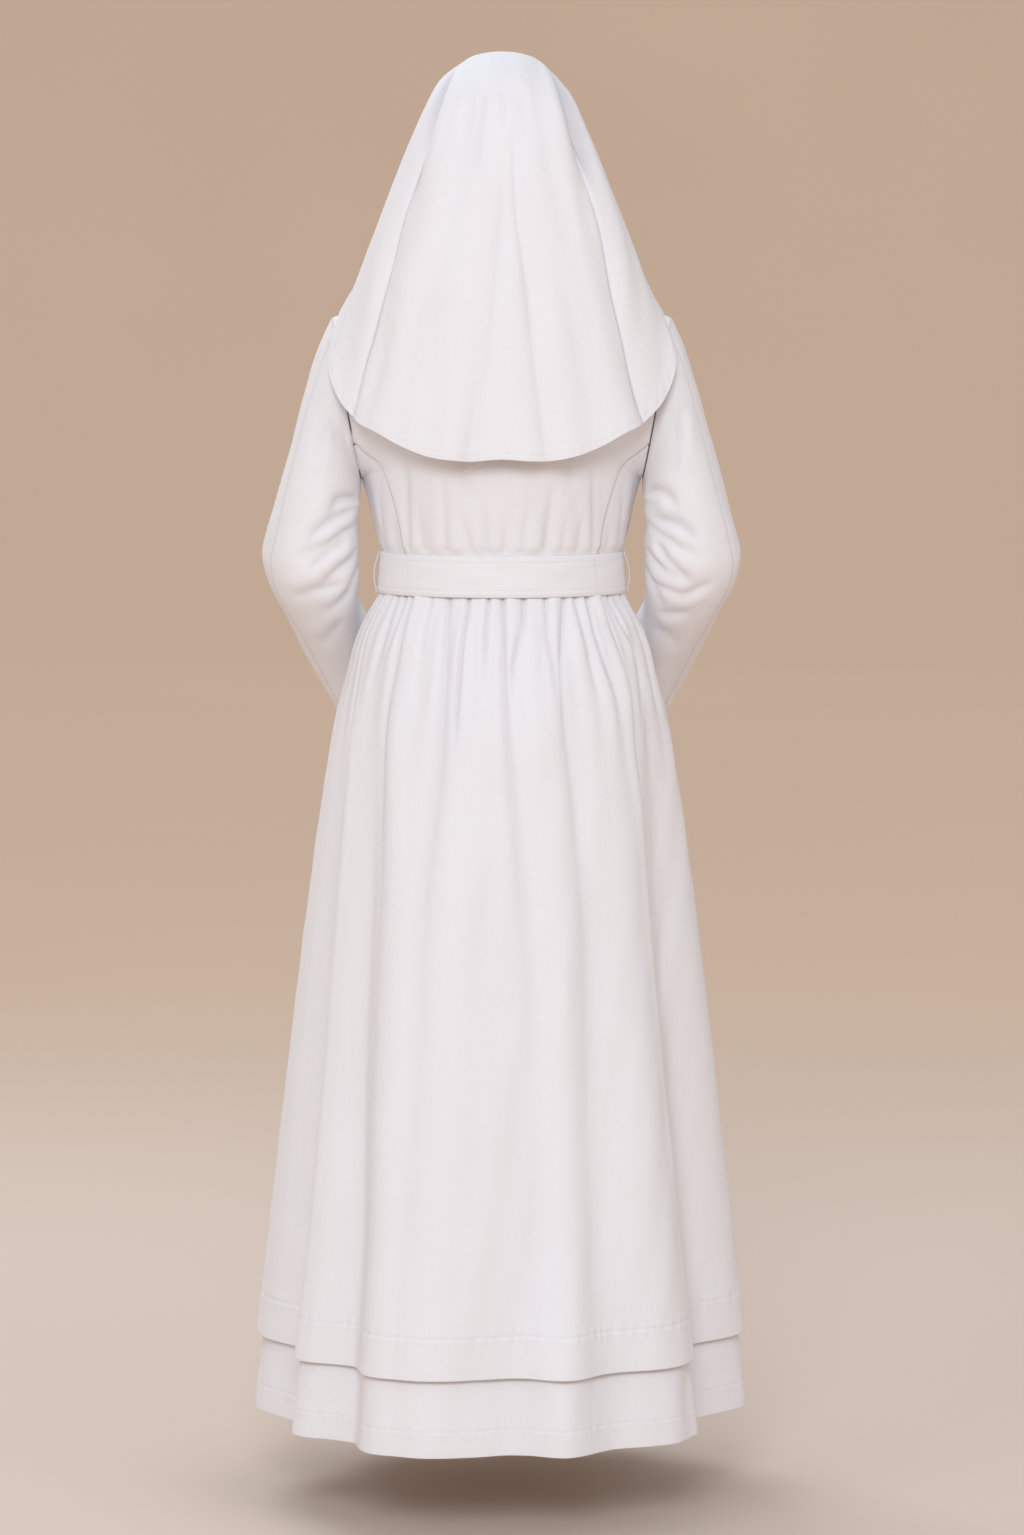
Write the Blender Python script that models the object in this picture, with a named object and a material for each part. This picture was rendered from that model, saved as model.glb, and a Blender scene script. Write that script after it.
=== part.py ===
"""Nun habit as it is worn: a veil over a long-sleeved dress with its belt, overskirt and underskirt.

Every cloth piece is a thin hollow wall. Heights in the tables are above the floor on which the habit is
worn; the part's origin is at the neck, between the shoulders. The front faces -Y, and left is +X.
"""
from collections import namedtuple

import bmesh
import bpy
import numpy as np
from mathutils import Vector

# Driving dimensions, in metres
NECK_HEIGHT = 1.42
CLOTH = 0.002
BELT_CLOTH = 0.003
LOOP_CLOTH = 0.0015
SEAM_GAP = 0.0003
BELT_CLEARANCE = 0.0005
WAIST_SEAM = 1.096
BELT_TOP = 1.119
BELT_BOTTOM = 1.073
OVERSKIRT_HEM = 0.194
UNDERSKIRT_HEM = 0.106
NECK_HALF_WIDTH = 0.075
NECK_POINT_HEIGHT = 1.428
SHOULDER_POINT = (0.198, 0.0, 1.392)
UNDERARM_POINT = (0.164, 0.0, 1.205)
ARMHOLE_HALF_DEPTH = 0.060
CLOTH_COLOUR = (0.85, 0.84, 0.87, 1.0)
CLOTH_ROUGHNESS = 0.85
SHARP_ANGLE = 50
# Shares and fractions that differ by less than this name the same place
SAME_PLACE = 0.001
# Part of a grid's length over which a surface's direction is taken
SLOPE_STEP = 1e-4

# Skirt outline: half width at the sides, depth of the back and of the front
SkirtRing = namedtuple("SkirtRing", "height half_width back front")
SKIRT_RINGS = (
    SkirtRing(0.106, 0.3030, 0.316, 0.300),
    SkirtRing(0.194, 0.2925, 0.304, 0.288),
    SkirtRing(0.349, 0.2735, 0.274, 0.262),
    SkirtRing(0.541, 0.2505, 0.239, 0.229),
    SkirtRing(0.708, 0.2295, 0.208, 0.199),
    SkirtRing(0.850, 0.2090, 0.180, 0.170),
    SkirtRing(0.930, 0.1945, 0.163, 0.152),
    SkirtRing(0.980, 0.1800, 0.149, 0.139),
    SkirtRing(1.025, 0.1672, 0.134, 0.125),
    SkirtRing(1.047, 0.1565, 0.124, 0.116),
    SkirtRing(1.063, 0.1450, 0.1135, 0.109),
    SkirtRing(1.073, 0.1402, 0.1098, 0.1058),
    SkirtRing(1.096, 0.1388, 0.1084, 0.1044),
)

# Gathers at the waist: how far each one stands out and in
GATHERS = 36
Gather = namedtuple("Gather", "height depth")
GATHER_DEPTHS = (
    Gather(0.70, 0.0000),
    Gather(0.86, 0.0010),
    Gather(0.95, 0.0030),
    Gather(1.03, 0.0038),
    Gather(1.073, 0.0024),
    Gather(1.096, 0.0019),
)
# Slow waves round the waist that set the gathers unevenly apart
GatherDrift = namedtuple("GatherDrift", "waves size start")
GATHER_DRIFTS = (GatherDrift(3, 1.1, 0.8), GatherDrift(5, 0.7, 0.0))

# Hanging folds of the skirts, as troughs. Angles in degrees run from the left side (0) over the back (90).
# A trough is as wide as given before and after its centre, and fades out at its top height.
SkirtFold = namedtuple("SkirtFold", "hem_angle top_angle depth before after top")
SKIRT_FOLDS = (
    SkirtFold(26, 10, 0.030, 13.0, 6.0, 1.04),
    SkirtFold(50, 27, 0.034, 9.0, 5.0, 1.03),
    SkirtFold(90, 90, 0.036, 13.0, 11.0, 0.96),
    SkirtFold(121, 124, 0.036, 7.0, 9.0, 1.00),
    SkirtFold(160, 168, 0.040, 8.0, 13.0, 1.04),
    SkirtFold(203, 194, 0.034, 13.0, 7.0, 1.03),
    SkirtFold(233, 222, 0.032, 9.0, 8.0, 1.00),
    SkirtFold(262, 264, 0.030, 10.0, 10.0, 0.97),
    SkirtFold(291, 296, 0.034, 9.0, 8.0, 1.00),
    SkirtFold(327, 338, 0.036, 7.0, 12.0, 1.03),
)
FOLD_GROWTH = 0.75

# How far the underskirt hangs inside the overskirt
UnderskirtInset = namedtuple("UnderskirtInset", "height inset")
UNDERSKIRT_INSETS = (
    UnderskirtInset(0.106, 0.0075),
    UnderskirtInset(1.045, 0.0078),
    UnderskirtInset(1.075, 0.0062),
    UnderskirtInset(1.096, 0.0044),
)

# Belt: outer half width and half depth at its two edges
BeltEdge = namedtuple("BeltEdge", "height half_width back front")
BELT_EDGES = (
    BeltEdge(BELT_BOTTOM, 0.1460, 0.1155, 0.1115),
    BeltEdge(BELT_TOP, 0.1425, 0.1120, 0.1080),
)

# Belt loop: where its outer face stands along the side of the belt
LOOP_WIDTH = 0.009
LoopPoint = namedtuple("LoopPoint", "height x")
LOOP_POINTS = (
    LoopPoint(1.0712, 0.1477),
    LoopPoint(1.0740, 0.1478),
    LoopPoint(1.0860, 0.1501),
    LoopPoint(1.0960, 0.1502),
    LoopPoint(1.1080, 0.1479),
    LoopPoint(1.1180, 0.1445),
    LoopPoint(1.1205, 0.1441),
)

# Bodice: side seam from the waist to the underarm; the distance up is a fraction of waist to shoulder
UNDERARM_FRACTION = 0.33
SideSeam = namedtuple("SideSeam", "fraction x height")
SIDE_SEAM = (
    SideSeam(0.000, 0.1400, 1.0960),
    SideSeam(0.066, 0.1425, 1.1175),
    SideSeam(0.130, 0.1465, 1.1390),
    SideSeam(0.200, 0.1525, 1.1620),
    SideSeam(0.265, 0.1580, 1.1840),
    SideSeam(0.330, 0.1640, 1.2050),
)
# Under the belt the bodice lies against it, and above the belt's top edge it blouses out over this height
BLOUSE_RISE = 0.011
# Depths of the bodice's back and front halves, and how the cloth leaves the waist and comes over the shoulder
BodiceHalf = namedtuple(
    "BodiceHalf", "facing waist_depth neck_depth neck_drop leave_out over_shoulder over_neck rise"
)
BACK_HALF = BodiceHalf(1, 0.1104, 0.056, 0.016, 0.035, 0.48, 0.27, 0.05)
FRONT_HALF = BodiceHalf(-1, 0.1064, 0.078, 0.064, 0.060, 0.46, 0.19, 0.10)
WAIST_RISE = 0.33
SIDE_LEAVE_OUT = 0.03
NECK_SHARE = 0.40
# Outside this share the surface is drawn to the side seam and the armhole
SIDE_PULL_START = 0.30
# The princess seam of the back leaves the waist and runs out to the armhole
PrincessSeam = namedtuple("PrincessSeam", "fraction share")
PRINCESS_SEAM = (
    PrincessSeam(0.00, 0.608),
    PrincessSeam(0.12, 0.612),
    PrincessSeam(0.25, 0.670),
    PrincessSeam(0.33, 0.735),
    PrincessSeam(0.45, 0.890),
    PrincessSeam(0.531, 0.985),
)
# Soft tucks in the cloth above the belt; the share is across the back or front, left to right
TUCK_START = 0.006
Tuck = namedtuple("Tuck", "share top width depth")
BACK_TUCKS = (
    Tuck(-0.86, 1.170, 0.040, 0.0030),
    Tuck(-0.68, 1.185, 0.035, 0.0032),
    Tuck(-0.47, 1.165, 0.045, 0.0028),
    Tuck(-0.25, 1.175, 0.040, 0.0030),
    Tuck(-0.04, 1.190, 0.045, 0.0026),
    Tuck(0.19, 1.170, 0.040, 0.0030),
    Tuck(0.43, 1.180, 0.045, 0.0028),
    Tuck(0.67, 1.190, 0.035, 0.0032),
    Tuck(0.87, 1.165, 0.040, 0.0030),
)
FRONT_TUCKS = (
    Tuck(-0.80, 1.175, 0.050, 0.0028),
    Tuck(-0.52, 1.190, 0.050, 0.0030),
    Tuck(-0.22, 1.170, 0.055, 0.0026),
    Tuck(0.12, 1.185, 0.050, 0.0028),
    Tuck(0.41, 1.175, 0.055, 0.0030),
    Tuck(0.73, 1.190, 0.050, 0.0028),
)

# Left sleeve: rings from the armhole to the cuff, by their outermost and innermost points. Depth is half the
# ring's size from back to front, and swing turns the ring forward, in degrees.
SleeveRing = namedtuple("SleeveRing", "station outer_x outer_z inner_x inner_z y depth swing")
SLEEVE_RINGS = (
    SleeveRing(0.0, 0.1980, 1.3920, 0.1640, 1.2050, 0.000, 0.060, 0),
    SleeveRing(1.0, 0.2140, 1.3560, 0.1645, 1.1985, 0.002, 0.061, 0),
    SleeveRing(2.0, 0.2280, 1.3110, 0.1650, 1.1900, 0.004, 0.061, 0),
    SleeveRing(3.0, 0.2405, 1.2660, 0.1655, 1.1800, 0.007, 0.060, 0),
    SleeveRing(4.0, 0.2535, 1.2180, 0.1665, 1.1670, 0.010, 0.058, 1),
    SleeveRing(5.0, 0.2650, 1.1740, 0.1685, 1.1490, 0.012, 0.056, 5),
    SleeveRing(6.0, 0.2740, 1.1430, 0.1675, 1.1300, 0.012, 0.055, 11),
    SleeveRing(7.0, 0.2800, 1.1170, 0.1680, 1.1130, 0.008, 0.055, 20),
    SleeveRing(8.0, 0.2745, 1.0880, 0.1670, 1.0990, -0.004, 0.054, 30),
    SleeveRing(9.0, 0.2610, 1.0560, 0.1690, 1.0830, -0.026, 0.050, 38),
    SleeveRing(10.0, 0.2480, 1.0260, 0.1680, 1.0600, -0.055, 0.047, 42),
    SleeveRing(11.0, 0.2340, 0.9930, 0.1560, 1.0280, -0.092, 0.045, 43.6),
    SleeveRing(12.0, 0.2190, 0.9590, 0.1420, 0.9940, -0.128, 0.043, 43.6),
    SleeveRing(13.0, 0.2060, 0.9320, 0.1310, 0.9680, -0.155, 0.042, 43.6),
    SleeveRing(14.0, 0.1940, 0.9070, 0.1180, 0.9430, -0.181, 0.041, 43.6),
)
# The sleeve's two seams, as degrees round each ring from its outermost point over the back
HIND_ARM_SEAM = 36
FORE_ARM_SEAM = 216
# The armhole of the bodice and the rings of the sleeve have a corner every so many degrees
ARM_STEP = 18
# Large sleeve folds, as troughs from one place to another on the sleeve
SleeveFold = namedtuple("SleeveFold", "station_a angle_a station_b angle_b width depth")
MEAN_ARM_RADIUS = 0.052
MEAN_STATION_LENGTH = 0.028
SLEEVE_FOLDS = (
    SleeveFold(4.6, 172, 6.6, 70, 0.0085, 0.0060),
    SleeveFold(6.2, 178, 7.6, 96, 0.0080, 0.0060),
    SleeveFold(7.4, 182, 8.8, 110, 0.0080, 0.0055),
    SleeveFold(6.4, 262, 8.2, 190, 0.0080, 0.0060),
)

# Veil: levels from the forehead edge over the crown and down to the nape. Each level runs from the centre
# back over the side to the face edge; way is the distance along the centre back.
VeilLevel = namedtuple("VeilLevel", "way edge_x edge_y edge_z side_x side_y side_z back_y back_z")
VEIL_LEVELS = (
    VeilLevel(0.000, 0.0780, -0.072, 1.600, 0.0700, -0.076, 1.640, -0.078, 1.6800),
    VeilLevel(0.048, 0.0840, -0.070, 1.590, 0.0765, -0.052, 1.643, -0.033, 1.6980),
    VeilLevel(0.101, 0.0910, -0.069, 1.578, 0.0810, -0.022, 1.642, 0.020, 1.6965),
    VeilLevel(0.162, 0.0970, -0.068, 1.562, 0.0920, 0.012, 1.622, 0.075, 1.6700),
    VeilLevel(0.220, 0.1025, -0.068, 1.540, 0.1055, 0.030, 1.593, 0.108, 1.6220),
    VeilLevel(0.277, 0.1070, -0.070, 1.512, 0.1220, 0.040, 1.553, 0.120, 1.5660),
    VeilLevel(0.343, 0.1110, -0.074, 1.475, 0.1435, 0.045, 1.500, 0.128, 1.5000),
)
VEIL_LENGTH = 0.611
VEIL_SIDE = 0.55
# How far round its oval each level has turned at the face edge, in degrees past the side
VEIL_EDGE_TURN = 60
# Veil hem from the centre back, over the shoulder, to the front corner; across is 1 at the face edge
VeilHem = namedtuple("VeilHem", "across x y z")
VEIL_HEM = (
    VeilHem(-0.10, -0.039, 0.155, 1.231),
    VeilHem(0.00, 0.000, 0.155, 1.233),
    VeilHem(0.10, 0.039, 0.155, 1.231),
    VeilHem(0.20, 0.080, 0.150, 1.235),
    VeilHem(0.29, 0.116, 0.140, 1.248),
    VeilHem(0.36, 0.142, 0.127, 1.262),
    VeilHem(0.44, 0.171, 0.107, 1.278),
    VeilHem(0.50, 0.190, 0.086, 1.302),
    VeilHem(0.55, 0.200, 0.069, 1.332),
    VeilHem(0.60, 0.1985, 0.054, 1.361),
    VeilHem(0.66, 0.193, 0.028, 1.3866),
    VeilHem(0.72, 0.188, -0.004, 1.3982),
    VeilHem(0.80, 0.180, -0.050, 1.384),
    VeilHem(0.90, 0.155, -0.098, 1.340),
    VeilHem(1.00, 0.122, -0.132, 1.294),
)
# Veil folds, as troughs that start below the crown; across is read at the crown, temple, nape and hem
VeilFold = namedtuple("VeilFold", "side crown temple nape hem depth to_back to_face")
VEIL_FOLDS = (
    VeilFold(1, 0.200, 0.290, 0.300, 0.430, 0.0075, 0.032, 0.070),
    VeilFold(-1, 0.240, 0.290, 0.280, 0.415, 0.0075, 0.032, 0.070),
    VeilFold(1, 0.010, 0.025, 0.045, 0.095, 0.0040, 0.040, 0.040),
    VeilFold(-1, 0.030, 0.060, 0.085, 0.140, 0.0045, 0.040, 0.040),
    VeilFold(1, 0.090, 0.130, 0.160, 0.230, 0.0035, 0.045, 0.045),
    VeilFold(-1, 0.120, 0.160, 0.195, 0.300, 0.0035, 0.045, 0.045),
    VeilFold(1, 0.640, 0.680, 0.780, 0.850, 0.0050, 0.050, 0.050),
    VeilFold(-1, 0.640, 0.690, 0.790, 0.860, 0.0050, 0.050, 0.050),
)
VEIL_FOLD_WAYS = (0.101, 0.220, 0.343, VEIL_LENGTH)
VEIL_FOLD_START = 0.06
VEIL_FOLD_FULL = 0.30


def column(rows, name):
    """Take one named column of a table."""
    return np.array([getattr(row, name) for row in rows])


def pick(values, place):
    """Take from each key's values the entry that belongs at each place of the grid."""
    if values.ndim == 1:
        return values[place]
    return np.take_along_axis(values, place[None, ..., None], axis=0)[0]


def through(keys, values, x):
    """Read a smooth curve that passes through the values at rising keys."""
    keys = np.asarray(keys, float)
    values = np.asarray(values, float)
    slopes = np.gradient(values, keys, axis=0)
    x = np.clip(x, keys[0], keys[-1])
    place = np.clip(np.searchsorted(keys, x, side="right") - 1, 0, len(keys) - 2)
    span = keys[place + 1] - keys[place]
    part = (x - keys[place]) / span
    if values.ndim > 1:
        span = span[..., None]
        part = part[..., None]
    start = pick(values, place)
    end = pick(values, place + 1)
    leave = pick(slopes, place) * span
    arrive = pick(slopes, place + 1) * span
    return hermite(start, end, leave, arrive, part)


def hermite(start, end, leave, arrive, part):
    """Blend two ends with given directions of leaving and arriving."""
    rest = 1 - part
    return (
        start * (1 + 2 * part) * rest ** 2
        + end * part ** 2 * (3 - 2 * part)
        + leave * part * rest ** 2
        - arrive * part ** 2 * rest
    )


def read(rows, name, x):
    """Read a table's named column at x, which is a value of the table's first column."""
    return through(column(rows, rows[0]._fields[0]), column(rows, name), x)


def points(x, y, z):
    """Put three grids of coordinates together as a grid of points."""
    x, y, z = np.broadcast_arrays(x, y, z)
    return np.stack([x, y, z], axis=-1)


def unit(vectors):
    """Scale vectors to length 1."""
    return vectors / np.linalg.norm(vectors, axis=-1, keepdims=True)


def trough(away, before, after):
    """Depth share of a trough whose two sides have their own widths."""
    width = np.where(away > 0, after, before)
    return np.exp(-((away / width) ** 2))


# Skirts


def fold_depth(angle, height):
    """How far the hanging folds draw the skirt in."""
    total = np.zeros(np.broadcast(angle, height).shape)
    for fold in SKIRT_FOLDS:
        fall = np.clip((fold.top - height) / (fold.top - OVERSKIRT_HEM), 0, 1)
        centre = fold.top_angle + (fold.hem_angle - fold.top_angle) * fall
        away = (angle - centre + 180) % 360 - 180
        total += fold.depth * fall ** FOLD_GROWTH * trough(away, fold.before, fold.after)
    return total


def gather_height(angle, height):
    """How far the gathers at the waist stand out, unevenly spaced round the skirt."""
    turn = np.radians(angle)
    phase = GATHERS * turn
    for drift in GATHER_DRIFTS:
        phase = phase + drift.size * np.sin(drift.waves * turn + drift.start)
    return read(GATHER_DEPTHS, "depth", height) * np.sin(phase)


def skirt_outline(angle, height, outward):
    """Point of the skirt's outline, moved outward from the upright axis."""
    turn = np.radians(angle)
    depth = np.where(
        np.sin(turn) > 0, read(SKIRT_RINGS, "back", height), read(SKIRT_RINGS, "front", height)
    )
    x = (read(SKIRT_RINGS, "half_width", height) + outward) * np.cos(turn)
    y = (depth + outward) * np.sin(turn)
    return points(x, y, height)


def overskirt_point(angle, height):
    return skirt_outline(angle, height, gather_height(angle, height) - fold_depth(angle, height))


def underskirt_point(angle, height):
    inset = read(UNDERSKIRT_INSETS, "inset", height)
    return skirt_outline(angle, height, -inset - fold_depth(angle, height))


# Belt


def belt_point(angle, height):
    turn = np.radians(angle)
    depth = np.where(
        np.sin(turn) > 0, read(BELT_EDGES, "back", height), read(BELT_EDGES, "front", height)
    )
    return points(read(BELT_EDGES, "half_width", height) * np.cos(turn), depth * np.sin(turn), height)


def loop_point(side):
    def point(across, height):
        return points(side * read(LOOP_POINTS, "x", height), across, height)

    return point


# Bodice


def bodice_edge(fraction, facing):
    """Side seam, then that half of the armhole, from the waist to the shoulder point on the left."""
    top = np.array(SHOULDER_POINT)
    bottom = np.array(UNDERARM_POINT)
    centre = (top + bottom) / 2
    up = (top - bottom) / 2
    rise = np.clip((fraction - UNDERARM_FRACTION) / (1 - UNDERARM_FRACTION), 0, 1) * np.pi - np.pi / 2
    armhole = centre + up * np.sin(rise)[..., None]
    armhole[..., 1] += facing * ARMHOLE_HALF_DEPTH * np.cos(rise)
    seam = points(read(SIDE_SEAM, "x", fraction), 0.0, read(SIDE_SEAM, "height", fraction))
    return np.where((fraction < UNDERARM_FRACTION)[..., None], seam, armhole)


def belt_hold(surface):
    """Level scale that brings the bodice to the belt's inner face, fading out just above the belt."""
    height = surface[..., 2]
    free = np.clip((height - BELT_TOP) / BLOUSE_RISE, 0, 1)
    hold = 1 - free * free * (3 - 2 * free)
    inside = BELT_CLOTH + 2 * SEAM_GAP
    half_width = read(BELT_EDGES, "half_width", height) - inside
    behind = read(BELT_EDGES, "back", height) - inside
    before = read(BELT_EDGES, "front", height) - inside
    depth = np.where(surface[..., 1] > 0, behind, before)
    reach = np.hypot(surface[..., 0] / half_width, surface[..., 1] / depth)
    return 1 + (1 / reach - 1) * hold


def bodice_sweep(share, fraction, half):
    """Sweep from the waist up and over to the shoulder seam and the neck edge."""
    round_waist = np.sin(share * np.pi / 2)
    waist = points(
        SIDE_SEAM[0].x * round_waist,
        half.facing * half.waist_depth * np.cos(share * np.pi / 2),
        WAIST_SEAM,
    )
    in_neck = np.clip(np.abs(share) / NECK_SHARE, 0, 1)
    on_shoulder = np.clip((np.abs(share) - NECK_SHARE) / (1 - NECK_SHARE), 0, 1)
    dip = np.cos(in_neck * np.pi / 2)
    neck_x = NECK_HALF_WIDTH * np.sin(in_neck * np.pi / 2)
    top_x = neck_x + on_shoulder * (SHOULDER_POINT[0] - NECK_HALF_WIDTH)
    top = points(
        np.sign(share) * top_x,
        half.facing * half.neck_depth * dip,
        NECK_POINT_HEIGHT - half.neck_drop * dip + on_shoulder * (SHOULDER_POINT[2] - NECK_POINT_HEIGHT),
    )
    leave_back = half.facing * half.leave_out * np.cos(share * np.pi / 2)
    leave = points(SIDE_LEAVE_OUT * round_waist, leave_back, WAIST_RISE)
    over = half.over_shoulder + (half.over_neck - half.over_shoulder) * dip
    arrive = points(0.0, -half.facing * over, half.rise * (1 + dip))
    return hermite(waist, top, leave, arrive, fraction[..., None])


def bodice_point(half, tucks):
    """Bodice surface by share across (left side 1, right side -1) and fraction of the way up."""

    def point(share, fraction):
        share, fraction = np.broadcast_arrays(share, fraction)
        surface = bodice_sweep(share, fraction, half)
        at_side = bodice_sweep(np.ones_like(share), fraction, half)
        mend = bodice_edge(fraction, half.facing) - at_side
        weight = np.clip((np.abs(share) - SIDE_PULL_START) / (1 - SIDE_PULL_START), 0, 1) ** 2
        mend[..., 0] *= np.sign(share)
        surface = surface + mend * weight[..., None]
        height = surface[..., 2]
        draw_in = np.zeros(height.shape)
        for tuck in tucks:
            reach = np.clip((tuck.top - height) / (tuck.top - BELT_TOP), 0, 1)
            above = np.clip((height - BELT_TOP) / TUCK_START, 0, 1)
            dent = trough(share - tuck.share, tuck.width, tuck.width)
            draw_in = draw_in + tuck.depth * reach * above * dent
        level = np.array([1.0, 1.0, 0.0])
        surface = surface - unit(surface * level) * draw_in[..., None]
        return surface + surface * level * (belt_hold(surface) - 1)[..., None]

    return point


def armhole_axis():
    """Direction square to the left armhole's plane, pointing out of the bodice."""
    up = unit(np.array(SHOULDER_POINT) - np.array(UNDERARM_POINT))
    return np.array([up[2], 0.0, -up[0]])


def to_neighbour(x, y, z, where=None):
    """Direction in which a piece's neighbour lies at a seam, for the stretch where they meet."""

    def direction(u, v):
        meets = np.ones(u.shape) if where is None else where(u, v)
        return np.array([x, y, z]) * meets[..., None]

    return direction


def below_underarm(share, fraction):
    return (fraction <= UNDERARM_FRACTION) * 1.0


def beside_neck(share, fraction):
    return (np.abs(share) >= NECK_SHARE - SAME_PLACE) * 1.0


# Sleeves


def sleeve_trough(station, angle):
    """How far the sleeve's folds draw it in; distances are taken on a sleeve of mean size."""
    total = np.zeros(np.broadcast(station, angle).shape)
    for fold in SLEEVE_FOLDS:
        fold_down = (fold.station_b - fold.station_a) * MEAN_STATION_LENGTH
        fold_round = np.radians(fold.angle_b - fold.angle_a) * MEAN_ARM_RADIUS
        length = np.hypot(fold_down, fold_round)
        down = (station - fold.station_a) * MEAN_STATION_LENGTH
        around = np.radians(angle - fold.angle_a) * MEAN_ARM_RADIUS
        way = (down * fold_down + around * fold_round) / length
        aside = (down * fold_round - around * fold_down) / length
        ends = np.clip(way / length, 0, 1) * np.clip(1 - way / length, 0, 1) * 4
        total += fold.depth * np.sqrt(ends) * np.exp(-((aside / fold.width) ** 2))
    return total


def sleeve_point(side):
    """Sleeve surface by degrees round the ring and station along the arm."""

    def point(angle, station):
        outer_x = read(SLEEVE_RINGS, "outer_x", station)
        outer_z = read(SLEEVE_RINGS, "outer_z", station)
        inner_x = read(SLEEVE_RINGS, "inner_x", station)
        inner_z = read(SLEEVE_RINGS, "inner_z", station)
        swing = np.radians(read(SLEEVE_RINGS, "swing", station))
        half_width = np.hypot(outer_x - inner_x, outer_z - inner_z) / 2
        lean = np.arctan2(outer_x - inner_x, outer_z - inner_z)
        across = points(np.sin(lean), 0.0, np.cos(lean))
        backward = points(np.cos(lean) * np.sin(swing), np.cos(swing), -np.sin(lean) * np.sin(swing))
        onward = points(np.cos(lean) * np.cos(swing), -np.sin(swing), -np.sin(lean) * np.cos(swing))
        centre = points((outer_x + inner_x) / 2, read(SLEEVE_RINGS, "y", station), (outer_z + inner_z) / 2)
        dent = sleeve_trough(station, angle % 360)
        turn = np.radians(angle)
        reach_out = (half_width - dent) * np.cos(turn)
        reach_back = (read(SLEEVE_RINGS, "depth", station) - dent) * np.sin(turn)
        clear = SEAM_GAP / 2 * np.clip(1 - station, 0, 1)
        place = (
            centre
            + across * reach_out[..., None]
            + backward * reach_back[..., None]
            + onward * np.broadcast_to(clear, reach_out.shape)[..., None]
        )
        return place * np.array([side, 1.0, 1.0])

    return point


# Veil


def veil_level(level, across):
    """One level of the veil: a quarter oval from the centre back to the side, then on to the face edge."""
    reach = np.abs(across)
    to_side = np.clip(reach / VEIL_SIDE, 0, 1) * np.pi / 2
    edge_turn = np.radians(VEIL_EDGE_TURN)
    to_edge = np.clip((reach - VEIL_SIDE) / (1 - VEIL_SIDE), 0, 1) * edge_turn
    in_share = (1 - np.cos(to_edge)) / (1 - np.cos(edge_turn))
    front_share = np.sin(to_edge) / np.sin(edge_turn)
    round_back = 1 - np.cos(to_side)
    x = level.side_x * np.sin(to_side) + (level.edge_x - level.side_x) * in_share
    side_y = level.back_y + (level.side_y - level.back_y) * round_back
    side_z = level.back_z + (level.side_z - level.back_z) * round_back
    y = side_y + (level.edge_y - level.side_y) * front_share
    z = side_z + (level.edge_z - level.side_z) * front_share
    return points(np.sign(across) * x, y, z)


def veil_base(across, way):
    """Smooth veil without folds, through its levels and its hem."""
    across, way = np.broadcast_arrays(across, way)
    reach = np.abs(across)
    hem_x = np.sign(across) * read(VEIL_HEM, "x", reach)
    hem = points(hem_x, read(VEIL_HEM, "y", reach), read(VEIL_HEM, "z", reach))
    levels = np.stack([veil_level(level, across) for level in VEIL_LEVELS] + [hem])
    ways = np.append(column(VEIL_LEVELS, "way"), VEIL_LENGTH)
    return through(ways, levels, way)


def veil_point(across, way):
    """Veil with its folds, drawn in square to the smooth veil."""
    across, way = np.broadcast_arrays(across, way)
    step = 0.002
    sideways = veil_base(across + step, way) - veil_base(across - step, way)
    down = veil_base(across, way + step) - veil_base(across, way - step)
    outward = unit(np.cross(sideways, down))
    begin = np.clip((way - VEIL_FOLD_START) / (VEIL_FOLD_FULL - VEIL_FOLD_START), 0, 1)
    total = np.zeros(across.shape)
    for fold in VEIL_FOLDS:
        centre = through(VEIL_FOLD_WAYS, (fold.crown, fold.temple, fold.nape, fold.hem), way)
        away = across * fold.side - centre
        total += fold.depth * begin * trough(away, fold.to_back, fold.to_face)
    return veil_base(across, way) - outward * total[..., None]


# Building


def kept_off(normals, neighbour):
    """Turn wall directions so that the inner face doesn't reach over the seam towards the neighbour."""
    across = np.minimum(np.sum(normals * neighbour, axis=-1, keepdims=True), 0)
    return unit(normals - neighbour * across)


def wall(name, point, us, vs, outward=1, seams=(), cloth=CLOTH, closed=False):
    """Build one cloth piece: an outer surface, an inner one a cloth's thickness inside it, and rims.

    Open edges stay half a seam gap short. Each seam names an edge of the grid and where the neighbour lies.
    """
    u, v = np.meshgrid(np.asarray(us, float), np.asarray(vs, float))
    small_u = (us[-1] - us[0]) * SLOPE_STEP
    small_v = (vs[-1] - vs[0]) * SLOPE_STEP
    middle_u = u if closed else np.clip(u, us[0] + small_u, us[-1] - small_u)
    middle_v = np.clip(v, vs[0] + small_v, vs[-1] - small_v)
    slope_u = (point(middle_u + small_u, v) - point(middle_u - small_u, v)) / (2 * small_u)
    slope_v = (point(u, middle_v + small_v) - point(u, middle_v - small_v)) / (2 * small_v)
    normals = unit(np.cross(slope_u, slope_v)) * outward
    edges = {
        "first_u": np.s_[:, 0],
        "last_u": np.s_[:, -1],
        "first_v": np.s_[0, :],
        "last_v": np.s_[-1, :],
    }
    for edge, neighbour in seams:
        place = edges[edge]
        normals[place] = kept_off(normals[place], neighbour(u[place], v[place]))
    retreat_u = SEAM_GAP / 2 / np.linalg.norm(slope_u, axis=-1)
    retreat_v = SEAM_GAP / 2 / np.linalg.norm(slope_v, axis=-1)
    if not closed:
        u[:, 0] += retreat_u[:, 0]
        u[:, -1] -= retreat_u[:, -1]
    v[0] += retreat_v[0]
    v[-1] -= retreat_v[-1]
    outer = point(u, v)
    mesh_object(name, outer, outer - normals * cloth, closed)


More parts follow.
